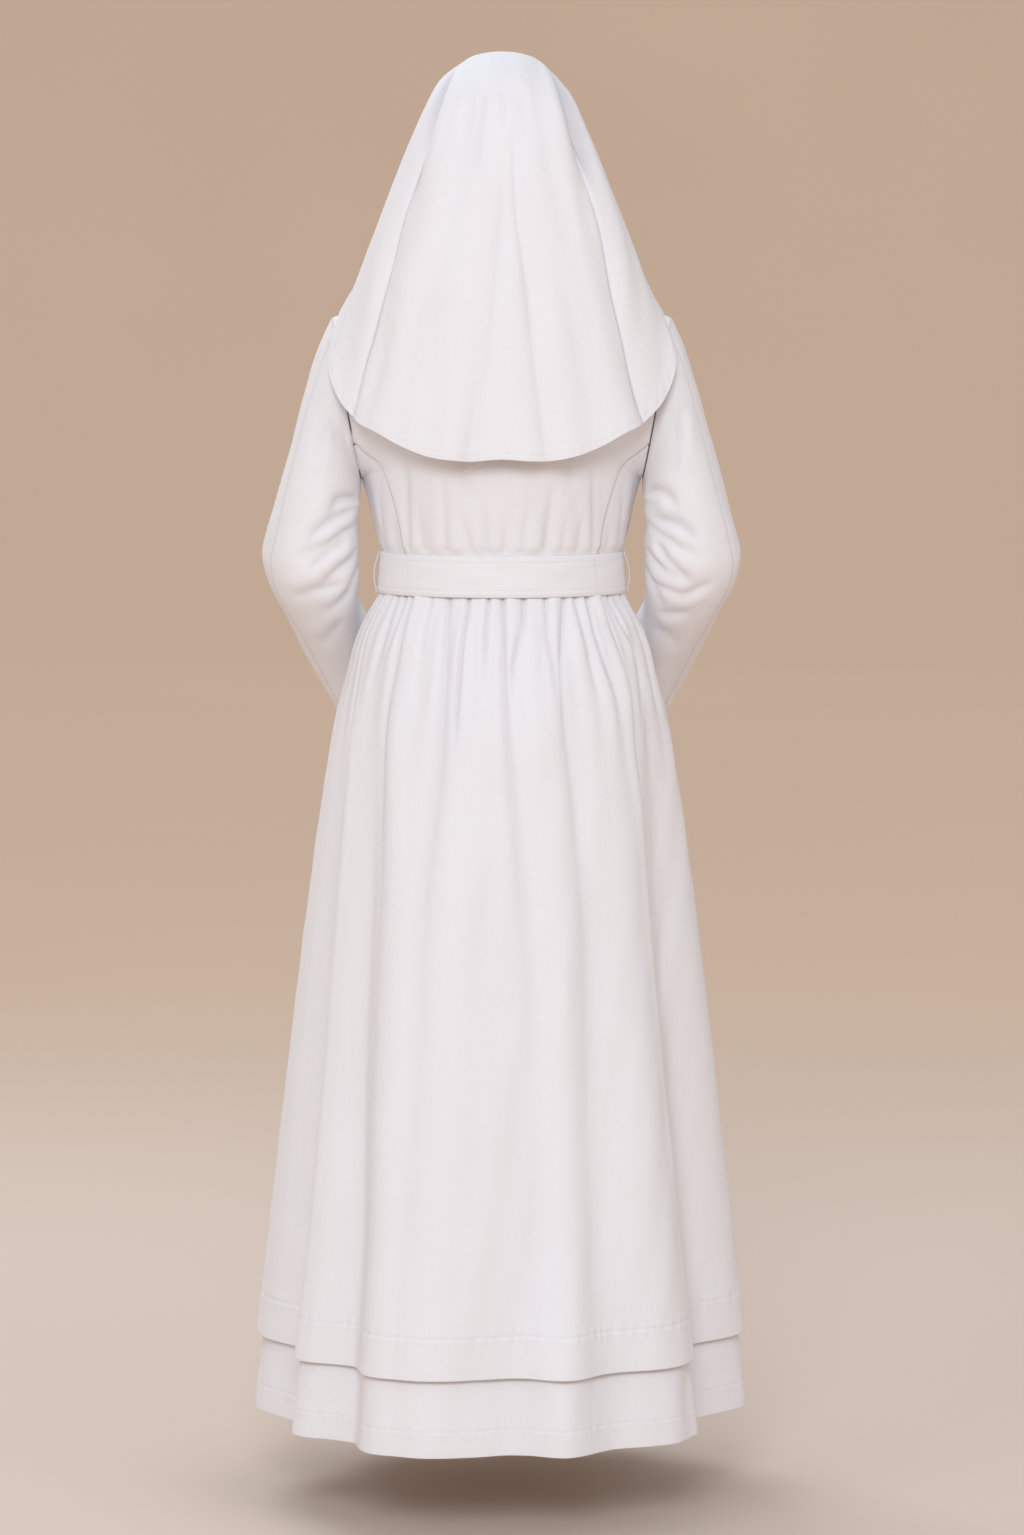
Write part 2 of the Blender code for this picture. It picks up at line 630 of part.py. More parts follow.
def mesh_object(name, outer, inner, closed):
    """Join an outer and an inner grid of points into one closed body."""
    rows, columns = outer.shape[:2]
    shape = bmesh.new()
    out = [[shape.verts.new(Vector(p)) for p in row] for row in outer]
    back = [[shape.verts.new(Vector(p)) for p in row] for row in inner]
    last = columns if closed else columns - 1
    for i in range(last):
        k = (i + 1) % columns
        for j in range(rows - 1):
            shape.faces.new((out[j][i], out[j][k], out[j + 1][k], out[j + 1][i]))
            shape.faces.new((back[j][i], back[j + 1][i], back[j + 1][k], back[j][k]))
        shape.faces.new((out[0][i], back[0][i], back[0][k], out[0][k]))
        shape.faces.new((out[-1][i], out[-1][k], back[-1][k], back[-1][i]))
    if not closed:
        for j in range(rows - 1):
            shape.faces.new((out[j][0], out[j + 1][0], back[j + 1][0], back[j][0]))
            shape.faces.new((out[j][-1], back[j][-1], back[j + 1][-1], out[j + 1][-1]))
    bmesh.ops.recalc_face_normals(shape, faces=shape.faces)
    mesh = bpy.data.meshes.new(name)
    shape.to_mesh(mesh)
    shape.free()
    mesh.shade_smooth()
    mesh.set_sharp_from_angle(angle=np.radians(SHARP_ANGLE))
    mesh.materials.append(cloth_material(name))
    piece = bpy.data.objects.new(name, mesh)
    collection.objects.link(piece)
    piece.parent = worn_height
    return piece


def cloth_material(name):
    material = bpy.data.materials.new(name)
    material.use_nodes = True
    shader = material.node_tree.nodes["Principled BSDF"]
    shader.inputs["Base Color"].default_value = CLOTH_COLOUR
    shader.inputs["Roughness"].default_value = CLOTH_ROUGHNESS
    shader.inputs["Metallic"].default_value = 0.0
    return material


def build_veil():
    across = np.linspace(-1, 1, 53)
    ways = (0.0, 0.035, 0.075, 0.120, 0.170, 0.225, 0.290, 0.380, 0.490, VEIL_LENGTH)
    wall("veil", veil_point, across, ways)


def build_bodice():
    armhole_steps = 180 // ARM_STEP
    armhole_rows = np.linspace(UNDERARM_FRACTION, 1, armhole_steps + 1)
    rows = np.append((0.0, 0.040, 0.0708, 0.098, 0.145, 0.225), armhole_rows)
    princess_end = PRINCESS_SEAM[-1].fraction + SAME_PLACE
    seam_rows = rows[rows <= princess_end]
    back = bodice_point(BACK_HALF, BACK_TUCKS)
    at_waist = ("first_v", to_neighbour(0, 0, -1))

    def seam_share(fraction):
        share = read(PRINCESS_SEAM, "share", fraction)
        return np.where(fraction > princess_end, 1.0, share)

    def centre_back(across, fraction):
        return back(across * seam_share(fraction), fraction)

    wall(
        "bodice_back_centre", centre_back, np.linspace(-1, 1, 23), rows, outward=-1,
        seams=[at_waist, ("last_v", to_neighbour(0, -1, 0, beside_neck))],
    )
    for side, name in ((1, "left"), (-1, "right")):

        def side_back(outward_part, fraction, side=side):
            share = seam_share(fraction)
            return back(side * (share + (1 - share) * outward_part), fraction)

        wall(
            "bodice_side_back_" + name, side_back, np.linspace(0, 1, 7), seam_rows, outward=-side,
            seams=[at_waist, ("last_u", to_neighbour(0, -1, 0, below_underarm))],
        )
    front = bodice_point(FRONT_HALF, FRONT_TUCKS)
    to_back = to_neighbour(0, 1, 0, below_underarm)
    on_shoulder = to_neighbour(0, 1, 0, beside_neck)
    wall(
        "bodice_front", front, np.linspace(-1, 1, 21), rows,
        seams=[at_waist, ("first_u", to_back), ("last_u", to_back), ("last_v", on_shoulder)],
    )


def build_sleeves():
    stations = (0.0, 0.8, 2.0, 3.4, 4.7, 5.7, 6.6, 7.4, 8.2, 9.2, 10.6, 12.2, 14.0)
    under = np.arange(HIND_ARM_SEAM, FORE_ARM_SEAM + 1, ARM_STEP)
    top = np.arange(FORE_ARM_SEAM, HIND_ARM_SEAM + 361, ARM_STEP)
    axis = armhole_axis()
    for side, name in ((1, "left"), (-1, "right")):
        armhole = [("first_v", to_neighbour(-side * axis[0], 0, -axis[2]))]
        wall("sleeve_under_" + name, sleeve_point(side), under, stations, outward=-side, seams=armhole)
        wall("sleeve_top_" + name, sleeve_point(side), top, stations, outward=-side, seams=armhole)


def build_belt():
    around = np.arange(0, 360, 6.0)
    wall("belt", belt_point, around, (BELT_BOTTOM, BELT_TOP), cloth=BELT_CLOTH, closed=True)
    heights = [row.height for row in LOOP_POINTS]
    for side, name in ((1, "left"), (-1, "right")):
        across = np.linspace(-LOOP_WIDTH / 2, LOOP_WIDTH / 2, 3)
        wall("belt_loop_" + name, loop_point(side), across, heights, outward=side, cloth=LOOP_CLOTH)


def build_skirts():
    below_belt = BELT_BOTTOM - BELT_CLEARANCE
    over_rows = (OVERSKIRT_HEM, 0.45, 0.70, 0.90, 0.99, 1.045, below_belt, WAIST_SEAM)
    under_rows = (UNDERSKIRT_HEM, OVERSKIRT_HEM, 0.45, 0.70, 0.99, below_belt, WAIST_SEAM)
    for start, name, facing in ((0, "back", 1), (180, "front", -1)):
        across = to_neighbour(0, -facing, 0)
        seams = [("first_u", across), ("last_u", across), ("last_v", to_neighbour(0, 0, 1))]
        fine = np.linspace(start, start + 180, 73)
        coarse = np.linspace(start, start + 180, 41)
        wall("overskirt_" + name, overskirt_point, fine, over_rows, seams=seams)
        wall("underskirt_" + name, underskirt_point, coarse, under_rows, seams=seams)


for old in list(bpy.data.objects):
    bpy.data.objects.remove(old, do_unlink=True)

collection = bpy.data.collections.new("nun_habit")
bpy.context.scene.collection.children.link(collection)
worn_height = bpy.data.objects.new("worn_height", None)
worn_height.location = (0.0, 0.0, -NECK_HEIGHT)
collection.objects.link(worn_height)

build_veil()
build_bodice()
build_sleeves()
build_belt()
build_skirts()
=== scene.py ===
"""Nun habit as it is worn: a veil over a long-sleeved dress with its belt, overskirt and underskirt.

Every cloth piece is a thin shell over its solid of the frame, with its seams, hems, folds and creases.
Heights in the tables are above the floor on which the habit is worn; the frame's origin is at the neck,
between the shoulders. The front faces -Y, and left is +X. Angles round the skirt start at the left side
and pass the middle of the back at 90.
"""
from collections import namedtuple

import bpy
import numpy as np
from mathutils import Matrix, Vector


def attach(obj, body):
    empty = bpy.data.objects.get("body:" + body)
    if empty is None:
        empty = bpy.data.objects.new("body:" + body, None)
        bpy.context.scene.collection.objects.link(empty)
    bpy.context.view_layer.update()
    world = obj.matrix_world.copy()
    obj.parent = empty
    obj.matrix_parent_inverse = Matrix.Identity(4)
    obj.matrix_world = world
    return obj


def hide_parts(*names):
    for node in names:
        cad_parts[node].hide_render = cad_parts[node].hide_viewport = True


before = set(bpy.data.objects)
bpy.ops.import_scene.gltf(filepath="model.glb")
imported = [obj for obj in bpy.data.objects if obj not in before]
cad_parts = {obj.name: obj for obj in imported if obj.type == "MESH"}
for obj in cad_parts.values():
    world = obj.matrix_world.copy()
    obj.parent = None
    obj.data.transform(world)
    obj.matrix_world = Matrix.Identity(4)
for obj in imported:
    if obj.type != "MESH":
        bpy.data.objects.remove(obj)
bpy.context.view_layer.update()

bl_info = {
    "name": "Nun habit",
    "version": (1, 0, 0),
    "blender": (4, 5, 0),
    "location": "3D View > Sidebar > Habit",
    "description": "Builds a nun habit of cloth shells: veil, bodice, sleeves, belt and two skirts",
    "category": "Add Mesh",
}

# Driving dimensions, in metres
NECK_HEIGHT = 1.42
BELT_CLOTH = 0.003
SEAM_GAP = 0.0003
WAIST_SEAM = 1.096
BELT_TOP = 1.119
BELT_BOTTOM = 1.073
# Both skirts reach this high under the belt
SKIRT_TOP = 1.085
OVERSKIRT_HEM = 0.194
UNDERSKIRT_HEM = 0.106
NECK_HALF_WIDTH = 0.075
NECK_POINT_HEIGHT = 1.428
SHOULDER_POINT = (0.198, 0.0, 1.392)
UNDERARM_POINT = (0.164, 0.0, 1.205)
ARMHOLE_HALF_DEPTH = 0.060
# Real thickness of the cloth shells
DRESS_THICKNESS = 0.0012
VEIL_THICKNESS = 0.0011
BELT_THICKNESS = 0.0026
UNDERSKIRT_THICKNESS = 0.0010
# Shares and fractions that differ by less than this name the same place
SAME_PLACE = 0.001


def table(kind, *rows):
    """Name the values of each row of a table."""
    return tuple(kind(*row) for row in rows)


# Skirt outline: half width at the sides, depth of the back and of the front
SkirtRing = namedtuple("SkirtRing", "height half_width back front")
SKIRT_RINGS = table(
    SkirtRing,
    (0.106, 0.3030, 0.316, 0.300),
    (0.194, 0.2925, 0.304, 0.288),
    (0.349, 0.2735, 0.274, 0.262),
    (0.541, 0.2505, 0.239, 0.229),
    (0.708, 0.2295, 0.208, 0.199),
    (0.850, 0.2090, 0.180, 0.170),
    (0.930, 0.1945, 0.163, 0.152),
    (0.980, 0.1800, 0.149, 0.139),
    (1.025, 0.1672, 0.134, 0.125),
    (1.047, 0.1563, 0.1240, 0.1165),
    (1.063, 0.1467, 0.1150, 0.1105),
    (1.073, 0.1402, 0.1098, 0.1058),
    (1.096, 0.1388, 0.1084, 0.1044),
)
# The rings are evened out over these distances above and below each height
RING_STEPS = (-0.012, -0.006, 0.0, 0.006, 0.012)

# Gathers at the waist: how far each one stands out and in
GATHERS = 36
Gather = namedtuple("Gather", "height depth")
GATHER_DEPTHS = table(
    Gather,
    (0.70, 0.0000),
    (0.86, 0.0010),
    (0.95, 0.0030),
    (1.03, 0.0038),
    (1.073, 0.0024),
    (1.096, 0.0019),
)
# Slow waves round the waist that set the gathers unevenly apart
GatherDrift = namedtuple("GatherDrift", "waves size start")
GATHER_DRIFTS = (GatherDrift(3, 1.1, 0.8), GatherDrift(5, 0.7, 0.0))
# The hanging folds deepen with this power of the way down, and start softly over this share of it
FOLD_GROWTH = 0.75
FOLD_ONSET = 0.16

# How far the underskirt hangs inside the overskirt
UnderskirtInset = namedtuple("UnderskirtInset", "height inset")
UNDERSKIRT_INSETS = table(
    UnderskirtInset,
    (0.106, 0.0075),
    (1.045, 0.0078),
    (1.075, 0.0062),
    (1.096, 0.0044),
)

# Belt: outer half width and half depth at its two edges
BeltEdge = namedtuple("BeltEdge", "height half_width back front")
BELT_EDGES = table(
    BeltEdge,
    (BELT_BOTTOM, 0.1460, 0.1155, 0.1115),
    (BELT_TOP, 0.1425, 0.1120, 0.1080),
)

# Belt loop: where its outer face stands along the side of the belt
LOOP_WIDTH = 0.009
LoopPoint = namedtuple("LoopPoint", "height x")
LOOP_POINTS = table(
    LoopPoint,
    (1.0712, 0.1477),
    (1.0740, 0.1478),
    (1.0860, 0.1501),
    (1.0960, 0.1502),
    (1.1080, 0.1479),
    (1.1180, 0.1445),
    (1.1205, 0.1441),
)

# Bodice: side seam from the waist to the underarm; the distance up is a fraction of waist to shoulder
UNDERARM_FRACTION = 0.33
SideSeam = namedtuple("SideSeam", "fraction x height")
SIDE_SEAM = table(
    SideSeam,
    (0.000, 0.1400, 1.0960),
    (0.066, 0.1425, 1.1175),
    (0.130, 0.1465, 1.1390),
    (0.200, 0.1525, 1.1620),
    (0.265, 0.1580, 1.1840),
    (0.330, 0.1640, 1.2050),
)
# Under the belt the bodice lies against it, and above the belt's top edge it blouses out over this height
BLOUSE_RISE = 0.011
# Depths of the bodice's back and front halves, and how the cloth leaves the waist and comes over the shoulder
BodiceHalf = namedtuple(
    "BodiceHalf", "facing waist_depth neck_depth neck_drop leave_out over_shoulder over_neck rise"
)
BACK_HALF = BodiceHalf(1, 0.1104, 0.056, 0.016, 0.035, 0.48, 0.27, 0.05)
FRONT_HALF = BodiceHalf(-1, 0.1064, 0.078, 0.064, 0.060, 0.46, 0.19, 0.10)
WAIST_RISE = 0.33
SIDE_LEAVE_OUT = 0.03
NECK_SHARE = 0.40
# Outside this share the surface is drawn to the side seam and the armhole
SIDE_PULL_START = 0.30
# The princess seam of the back leaves the waist and runs out to the armhole
PrincessSeam = namedtuple("PrincessSeam", "fraction share")
PRINCESS_SEAM = table(
    PrincessSeam,
    (0.00, 0.608),
    (0.12, 0.612),
    (0.25, 0.670),
    (0.33, 0.735),
    (0.45, 0.890),
    (0.531, 0.985),
)
# Soft tucks in the cloth above the belt; the share is across the back or front, left to right
TUCK_START = 0.006
Tuck = namedtuple("Tuck", "share top width depth")
BACK_TUCKS = table(
    Tuck,
    (-0.86, 1.170, 0.040, 0.0030),
    (-0.68, 1.185, 0.035, 0.0032),
    (-0.47, 1.165, 0.045, 0.0028),
    (-0.25, 1.175, 0.040, 0.0030),
    (-0.04, 1.190, 0.045, 0.0026),
    (0.19, 1.170, 0.040, 0.0030),
    (0.43, 1.180, 0.045, 0.0028),
    (0.67, 1.190, 0.035, 0.0032),
    (0.87, 1.165, 0.040, 0.0030),
)
FRONT_TUCKS = table(
    Tuck,
    (-0.80, 1.175, 0.050, 0.0028),
    (-0.52, 1.190, 0.050, 0.0030),
    (-0.22, 1.170, 0.055, 0.0026),
    (0.12, 1.185, 0.050, 0.0028),
    (0.41, 1.175, 0.055, 0.0030),
    (0.73, 1.190, 0.050, 0.0028),
)

# Left sleeve: rings from the armhole to the cuff, by their outermost and innermost points. Depth is half the
# ring's size from back to front, and swing turns the ring forward, in degrees.
SleeveRing = namedtuple("SleeveRing", "station outer_x outer_z inner_x inner_z y depth swing")
SLEEVE_RINGS = table(
    SleeveRing,
    (0.0, 0.1980, 1.3920, 0.1640, 1.2050, 0.000, 0.060, 0),
    (1.0, 0.2140, 1.3560, 0.1645, 1.1985, 0.002, 0.061, 0),
    (2.0, 0.2280, 1.3110, 0.1650, 1.1900, 0.004, 0.061, 0),
    (3.0, 0.2405, 1.2660, 0.1655, 1.1800, 0.007, 0.060, 0),
    (4.0, 0.2535, 1.2180, 0.1665, 1.1670, 0.010, 0.058, 1),
    (5.0, 0.2650, 1.1740, 0.1685, 1.1490, 0.012, 0.056, 5),
    (6.0, 0.2740, 1.1430, 0.1675, 1.1300, 0.012, 0.055, 11),
    (7.0, 0.2800, 1.1170, 0.1680, 1.1130, 0.008, 0.055, 20),
    (8.0, 0.2745, 1.0880, 0.1670, 1.0990, -0.004, 0.054, 30),
    (9.0, 0.2610, 1.0560, 0.1690, 1.0830, -0.026, 0.050, 38),
    (10.0, 0.2480, 1.0260, 0.1680, 1.0600, -0.055, 0.047, 42),
    (11.0, 0.2340, 0.9930, 0.1560, 1.0280, -0.092, 0.045, 43.6),
    (12.0, 0.2190, 0.9590, 0.1420, 0.9940, -0.128, 0.043, 43.6),
    (13.0, 0.2060, 0.9320, 0.1310, 0.9680, -0.155, 0.042, 43.6),
    (14.0, 0.1940, 0.9070, 0.1180, 0.9430, -0.181, 0.041, 43.6),
)
CUFF_STATION = 14
# Length of one station near the cuff, in metres
CUFF_STATION_LENGTH = 0.031
# The sleeve's two seams, as degrees round each ring from its outermost point over the back
HIND_ARM_SEAM = 36
FORE_ARM_SEAM = 216
# A sleeve of mean size, on which distances of folds and creases are taken
MEAN_ARM_RADIUS = 0.052
MEAN_STATION_LENGTH = 0.028
# Large sleeve folds, as troughs from one place to another on the sleeve
SleeveFold = namedtuple("SleeveFold", "station_a angle_a station_b angle_b width depth")
SLEEVE_FOLDS = table(
    SleeveFold,
    (4.6, 172, 6.6, 70, 0.0085, 0.0060),
    (6.2, 178, 7.6, 96, 0.0080, 0.0060),
    (7.4, 182, 8.8, 110, 0.0080, 0.0055),
    (6.4, 262, 8.2, 190, 0.0080, 0.0060),
)

# Veil: levels from the forehead edge over the crown and down to the nape. Each level runs from the centre
# back over the side to the face edge; way is the distance along the centre back.
VeilLevel = namedtuple("VeilLevel", "way edge_x edge_y edge_z side_x side_y side_z back_y back_z")
VEIL_LEVELS = table(
    VeilLevel,
    (0.000, 0.0780, -0.072, 1.600, 0.0700, -0.076, 1.640, -0.078, 1.6800),
    (0.048, 0.0840, -0.070, 1.590, 0.0765, -0.052, 1.643, -0.033, 1.6980),
    (0.101, 0.0910, -0.069, 1.578, 0.0810, -0.022, 1.642, 0.020, 1.6965),
    (0.162, 0.0970, -0.068, 1.562, 0.0920, 0.012, 1.622, 0.075, 1.6700),
    (0.220, 0.1025, -0.068, 1.540, 0.1055, 0.030, 1.593, 0.108, 1.6220),
    (0.277, 0.1070, -0.070, 1.512, 0.1220, 0.040, 1.553, 0.120, 1.5660),
    (0.343, 0.1110, -0.074, 1.475, 0.1435, 0.045, 1.500, 0.128, 1.5000),
)
VEIL_LENGTH = 0.611
# The share of the way across at which the veil passes the side of its oval
VEIL_SIDE = 0.55
# How far round its oval each level has turned at the face edge, in degrees past the side
VEIL_EDGE_TURN = 60
# Veil hem from the centre back, over the shoulder, to the front corner; across is 1 at the face edge
VeilHem = namedtuple("VeilHem", "across x y z")
VEIL_HEM = table(
    VeilHem,
    (-0.10, -0.039, 0.155, 1.231),
    (0.00, 0.000, 0.155, 1.233),
    (0.10, 0.039, 0.155, 1.231),
    (0.20, 0.080, 0.150, 1.235),
    (0.29, 0.116, 0.140, 1.248),
    (0.36, 0.142, 0.127, 1.262),
    (0.44, 0.171, 0.107, 1.278),
    (0.50, 0.190, 0.086, 1.302),
    (0.55, 0.200, 0.069, 1.332),
    (0.60, 0.1985, 0.054, 1.361),
    (0.66, 0.193, 0.028, 1.3866),
    (0.72, 0.188, -0.004, 1.3982),
    (0.80, 0.180, -0.050, 1.384),
    (0.90, 0.155, -0.098, 1.340),
    (1.00, 0.122, -0.132, 1.294),
)
# Veil folds, as troughs that start below the crown; across is read at the crown, temple, nape and hem
VeilFold = namedtuple("VeilFold", "side crown temple nape hem depth to_back to_face")
VEIL_FOLDS = table(
    VeilFold,
    (1, 0.200, 0.290, 0.300, 0.430, 0.0075, 0.032, 0.070),
    (-1, 0.240, 0.290, 0.280, 0.415, 0.0075, 0.032, 0.070),
    (1, 0.010, 0.025, 0.045, 0.095, 0.0040, 0.040, 0.040),
    (-1, 0.030, 0.060, 0.085, 0.140, 0.0045, 0.040, 0.040),
    (1, 0.090, 0.130, 0.160, 0.230, 0.0035, 0.045, 0.045),
    (-1, 0.120, 0.160, 0.195, 0.300, 0.0035, 0.045, 0.045),
    (1, 0.640, 0.680, 0.780, 0.850, 0.0050, 0.050, 0.050),
    (-1, 0.640, 0.690, 0.790, 0.860, 0.0050, 0.050, 0.050),
)
# Where the four readings of a veil fold lie, and over which part of the way it deepens
VEIL_FOLD_WAYS = (0.101, 0.220, 0.343, VEIL_LENGTH)
VEIL_FOLD_START = 0.06
VEIL_FOLD_FULL = 0.30


def column(rows, name):
    """Take one named column of a table."""
    return np.array([getattr(row, name) for row in rows])


def pick(values, place):
    """Take from each key's values the entry that belongs at each place of the grid."""
    if values.ndim == 1:
        return values[place]
    return np.take_along_axis(values, place[None, ..., None], axis=0)[0]


def through(keys, values, x):
    """Read a smooth curve that passes through the values at rising keys."""
    keys = np.asarray(keys, float)
    values = np.asarray(values, float)
    slopes = np.gradient(values, keys, axis=0)
    x = np.clip(x, keys[0], keys[-1])
    place = np.clip(np.searchsorted(keys, x, side="right") - 1, 0, len(keys) - 2)
    span = keys[place + 1] - keys[place]
    part = (x - keys[place]) / span
    if values.ndim > 1:
        span = span[..., None]
        part = part[..., None]
    start = pick(values, place)
    end = pick(values, place + 1)
    leave = pick(slopes, place) * span
    arrive = pick(slopes, place + 1) * span
    return hermite(start, end, leave, arrive, part)


def hermite(start, end, leave, arrive, part):
    """Blend two ends with given directions of leaving and arriving."""
    rest = 1 - part
    return (
        start * (1 + 2 * part) * rest ** 2
        + end * part ** 2 * (3 - 2 * part)
        + leave * part * rest ** 2
        - arrive * part ** 2 * rest
    )


def read(rows, name, x):
    """Read a table's named column at x, which is a value of the table's first column."""
    return through(column(rows, rows[0]._fields[0]), column(rows, name), x)


def points(x, y, z):
    """Put three grids of coordinates together as a grid of points."""
    x, y, z = np.broadcast_arrays(x, y, z)
    return np.stack([x, y, z], axis=-1)


def unit(vectors):
    """Scale vectors to length 1."""
    return vectors / np.linalg.norm(vectors, axis=-1, keepdims=True)


def trough(away, before, after):
    """Depth share of a trough whose two sides have their own widths."""
    width = np.where(away > 0, after, before)
    return np.exp(-((away / width) ** 2))


# Skirts


def gather_height(angle, height):
    """How far the gathers at the waist stand out, unevenly spaced round the skirt."""
    turn = np.radians(angle)
    phase = GATHERS * turn
    for drift in GATHER_DRIFTS:
        phase = phase + drift.size * np.sin(drift.waves * turn + drift.start)
    return read(GATHER_DEPTHS, "depth", height) * np.sin(phase)


def even_ring(name, height):
    """A column of the skirt's rings, evened out over a few centimetres of height."""
    return sum(read(SKIRT_RINGS, name, height + step) for step in RING_STEPS) / len(RING_STEPS)


def skirt_outline(angle, height, outward):
    """Point of the skirt's outline, moved outward from the upright axis."""
    turn = np.radians(angle)
    depth = np.where(np.sin(turn) > 0, even_ring("back", height), even_ring("front", height))
    x = (even_ring("half_width", height) + outward) * np.cos(turn)
    y = (depth + outward) * np.sin(turn)
    return points(x, y, height)


# Belt


def belt_point(angle, height):
    turn = np.radians(angle)
    depth = np.where(
        np.sin(turn) > 0, read(BELT_EDGES, "back", height), read(BELT_EDGES, "front", height)
    )
    return points(read(BELT_EDGES, "half_width", height) * np.cos(turn), depth * np.sin(turn), height)


def loop_point(side):
    def point(across, height):
        return points(side * read(LOOP_POINTS, "x", height), across, height)

    return point


# Bodice


def bodice_edge(fraction, facing):
    """Side seam, then that half of the armhole, from the waist to the shoulder point on the left."""
    top = np.array(SHOULDER_POINT)
    bottom = np.array(UNDERARM_POINT)
    centre = (top + bottom) / 2
    up = (top - bottom) / 2
    rise = np.clip((fraction - UNDERARM_FRACTION) / (1 - UNDERARM_FRACTION), 0, 1) * np.pi - np.pi / 2
    armhole = centre + up * np.sin(rise)[..., None]
    armhole[..., 1] += facing * ARMHOLE_HALF_DEPTH * np.cos(rise)
    seam = points(read(SIDE_SEAM, "x", fraction), 0.0, read(SIDE_SEAM, "height", fraction))
    return np.where((fraction < UNDERARM_FRACTION)[..., None], seam, armhole)


def belt_hold(surface):
    """Level scale that brings the bodice to the belt's inner face, fading out just above the belt."""
    height = surface[..., 2]
    free = np.clip((height - BELT_TOP) / BLOUSE_RISE, 0, 1)
    hold = 1 - free * free * (3 - 2 * free)
    inside = BELT_CLOTH + 2 * SEAM_GAP
    half_width = read(BELT_EDGES, "half_width", height) - inside
    behind = read(BELT_EDGES, "back", height) - inside
    before = read(BELT_EDGES, "front", height) - inside
    depth = np.where(surface[..., 1] > 0, behind, before)
    reach = np.hypot(surface[..., 0] / half_width, surface[..., 1] / depth)
    return 1 + (1 / reach - 1) * hold


def bodice_sweep(share, fraction, half):
    """Sweep from the waist up and over to the shoulder seam and the neck edge."""
    round_waist = np.sin(share * np.pi / 2)
    waist = points(
        SIDE_SEAM[0].x * round_waist,
        half.facing * half.waist_depth * np.cos(share * np.pi / 2),
        WAIST_SEAM,
    )
    in_neck = np.clip(np.abs(share) / NECK_SHARE, 0, 1)
    on_shoulder = np.clip((np.abs(share) - NECK_SHARE) / (1 - NECK_SHARE), 0, 1)
    dip = np.cos(in_neck * np.pi / 2)
    neck_x = NECK_HALF_WIDTH * np.sin(in_neck * np.pi / 2)
    top_x = neck_x + on_shoulder * (SHOULDER_POINT[0] - NECK_HALF_WIDTH)
    top = points(
        np.sign(share) * top_x,
        half.facing * half.neck_depth * dip,
        NECK_POINT_HEIGHT - half.neck_drop * dip + on_shoulder * (SHOULDER_POINT[2] - NECK_POINT_HEIGHT),
    )
    leave_back = half.facing * half.leave_out * np.cos(share * np.pi / 2)
    leave = points(SIDE_LEAVE_OUT * round_waist, leave_back, WAIST_RISE)
    over = half.over_shoulder + (half.over_neck - half.over_shoulder) * dip
    arrive = points(0.0, -half.facing * over, half.rise * (1 + dip))
    return hermite(waist, top, leave, arrive, fraction[..., None])


def bodice_point(half, tucks):
    """Bodice surface by share across (left side 1, right side -1) and fraction of the way up."""

    def point(share, fraction):
        share, fraction = np.broadcast_arrays(share, fraction)
        surface = bodice_sweep(share, fraction, half)
        at_side = bodice_sweep(np.ones_like(share), fraction, half)
        mend = bodice_edge(fraction, half.facing) - at_side
        weight = np.clip((np.abs(share) - SIDE_PULL_START) / (1 - SIDE_PULL_START), 0, 1) ** 2
        mend[..., 0] *= np.sign(share)
        surface = surface + mend * weight[..., None]
        height = surface[..., 2]
        draw_in = np.zeros(height.shape)
        for tuck in tucks:
            reach = np.clip((tuck.top - height) / (tuck.top - BELT_TOP), 0, 1)
            above = np.clip((height - BELT_TOP) / TUCK_START, 0, 1)
            dent = trough(share - tuck.share, tuck.width, tuck.width)
            draw_in = draw_in + tuck.depth * reach * above * dent
        level = np.array([1.0, 1.0, 0.0])
        surface = surface - unit(surface * level) * draw_in[..., None]
        return surface + surface * level * (belt_hold(surface) - 1)[..., None]

    return point


# Sleeves


def sleeve_trough(station, angle):
    """How far the sleeve's folds draw it in; distances are taken on a sleeve of mean size."""
    total = np.zeros(np.broadcast(station, angle).shape)
    for fold in SLEEVE_FOLDS:
        fold_down = (fold.station_b - fold.station_a) * MEAN_STATION_LENGTH
        fold_round = np.radians(fold.angle_b - fold.angle_a) * MEAN_ARM_RADIUS
        length = np.hypot(fold_down, fold_round)
        down = (station - fold.station_a) * MEAN_STATION_LENGTH
        around = np.radians(angle - fold.angle_a) * MEAN_ARM_RADIUS
        way = (down * fold_down + around * fold_round) / length
        aside = (down * fold_round - around * fold_down) / length
        ends = np.clip(way / length, 0, 1) * np.clip(1 - way / length, 0, 1) * 4
        total += fold.depth * smooth_step(ends) * np.exp(-((aside / fold.width) ** 2))
    return total


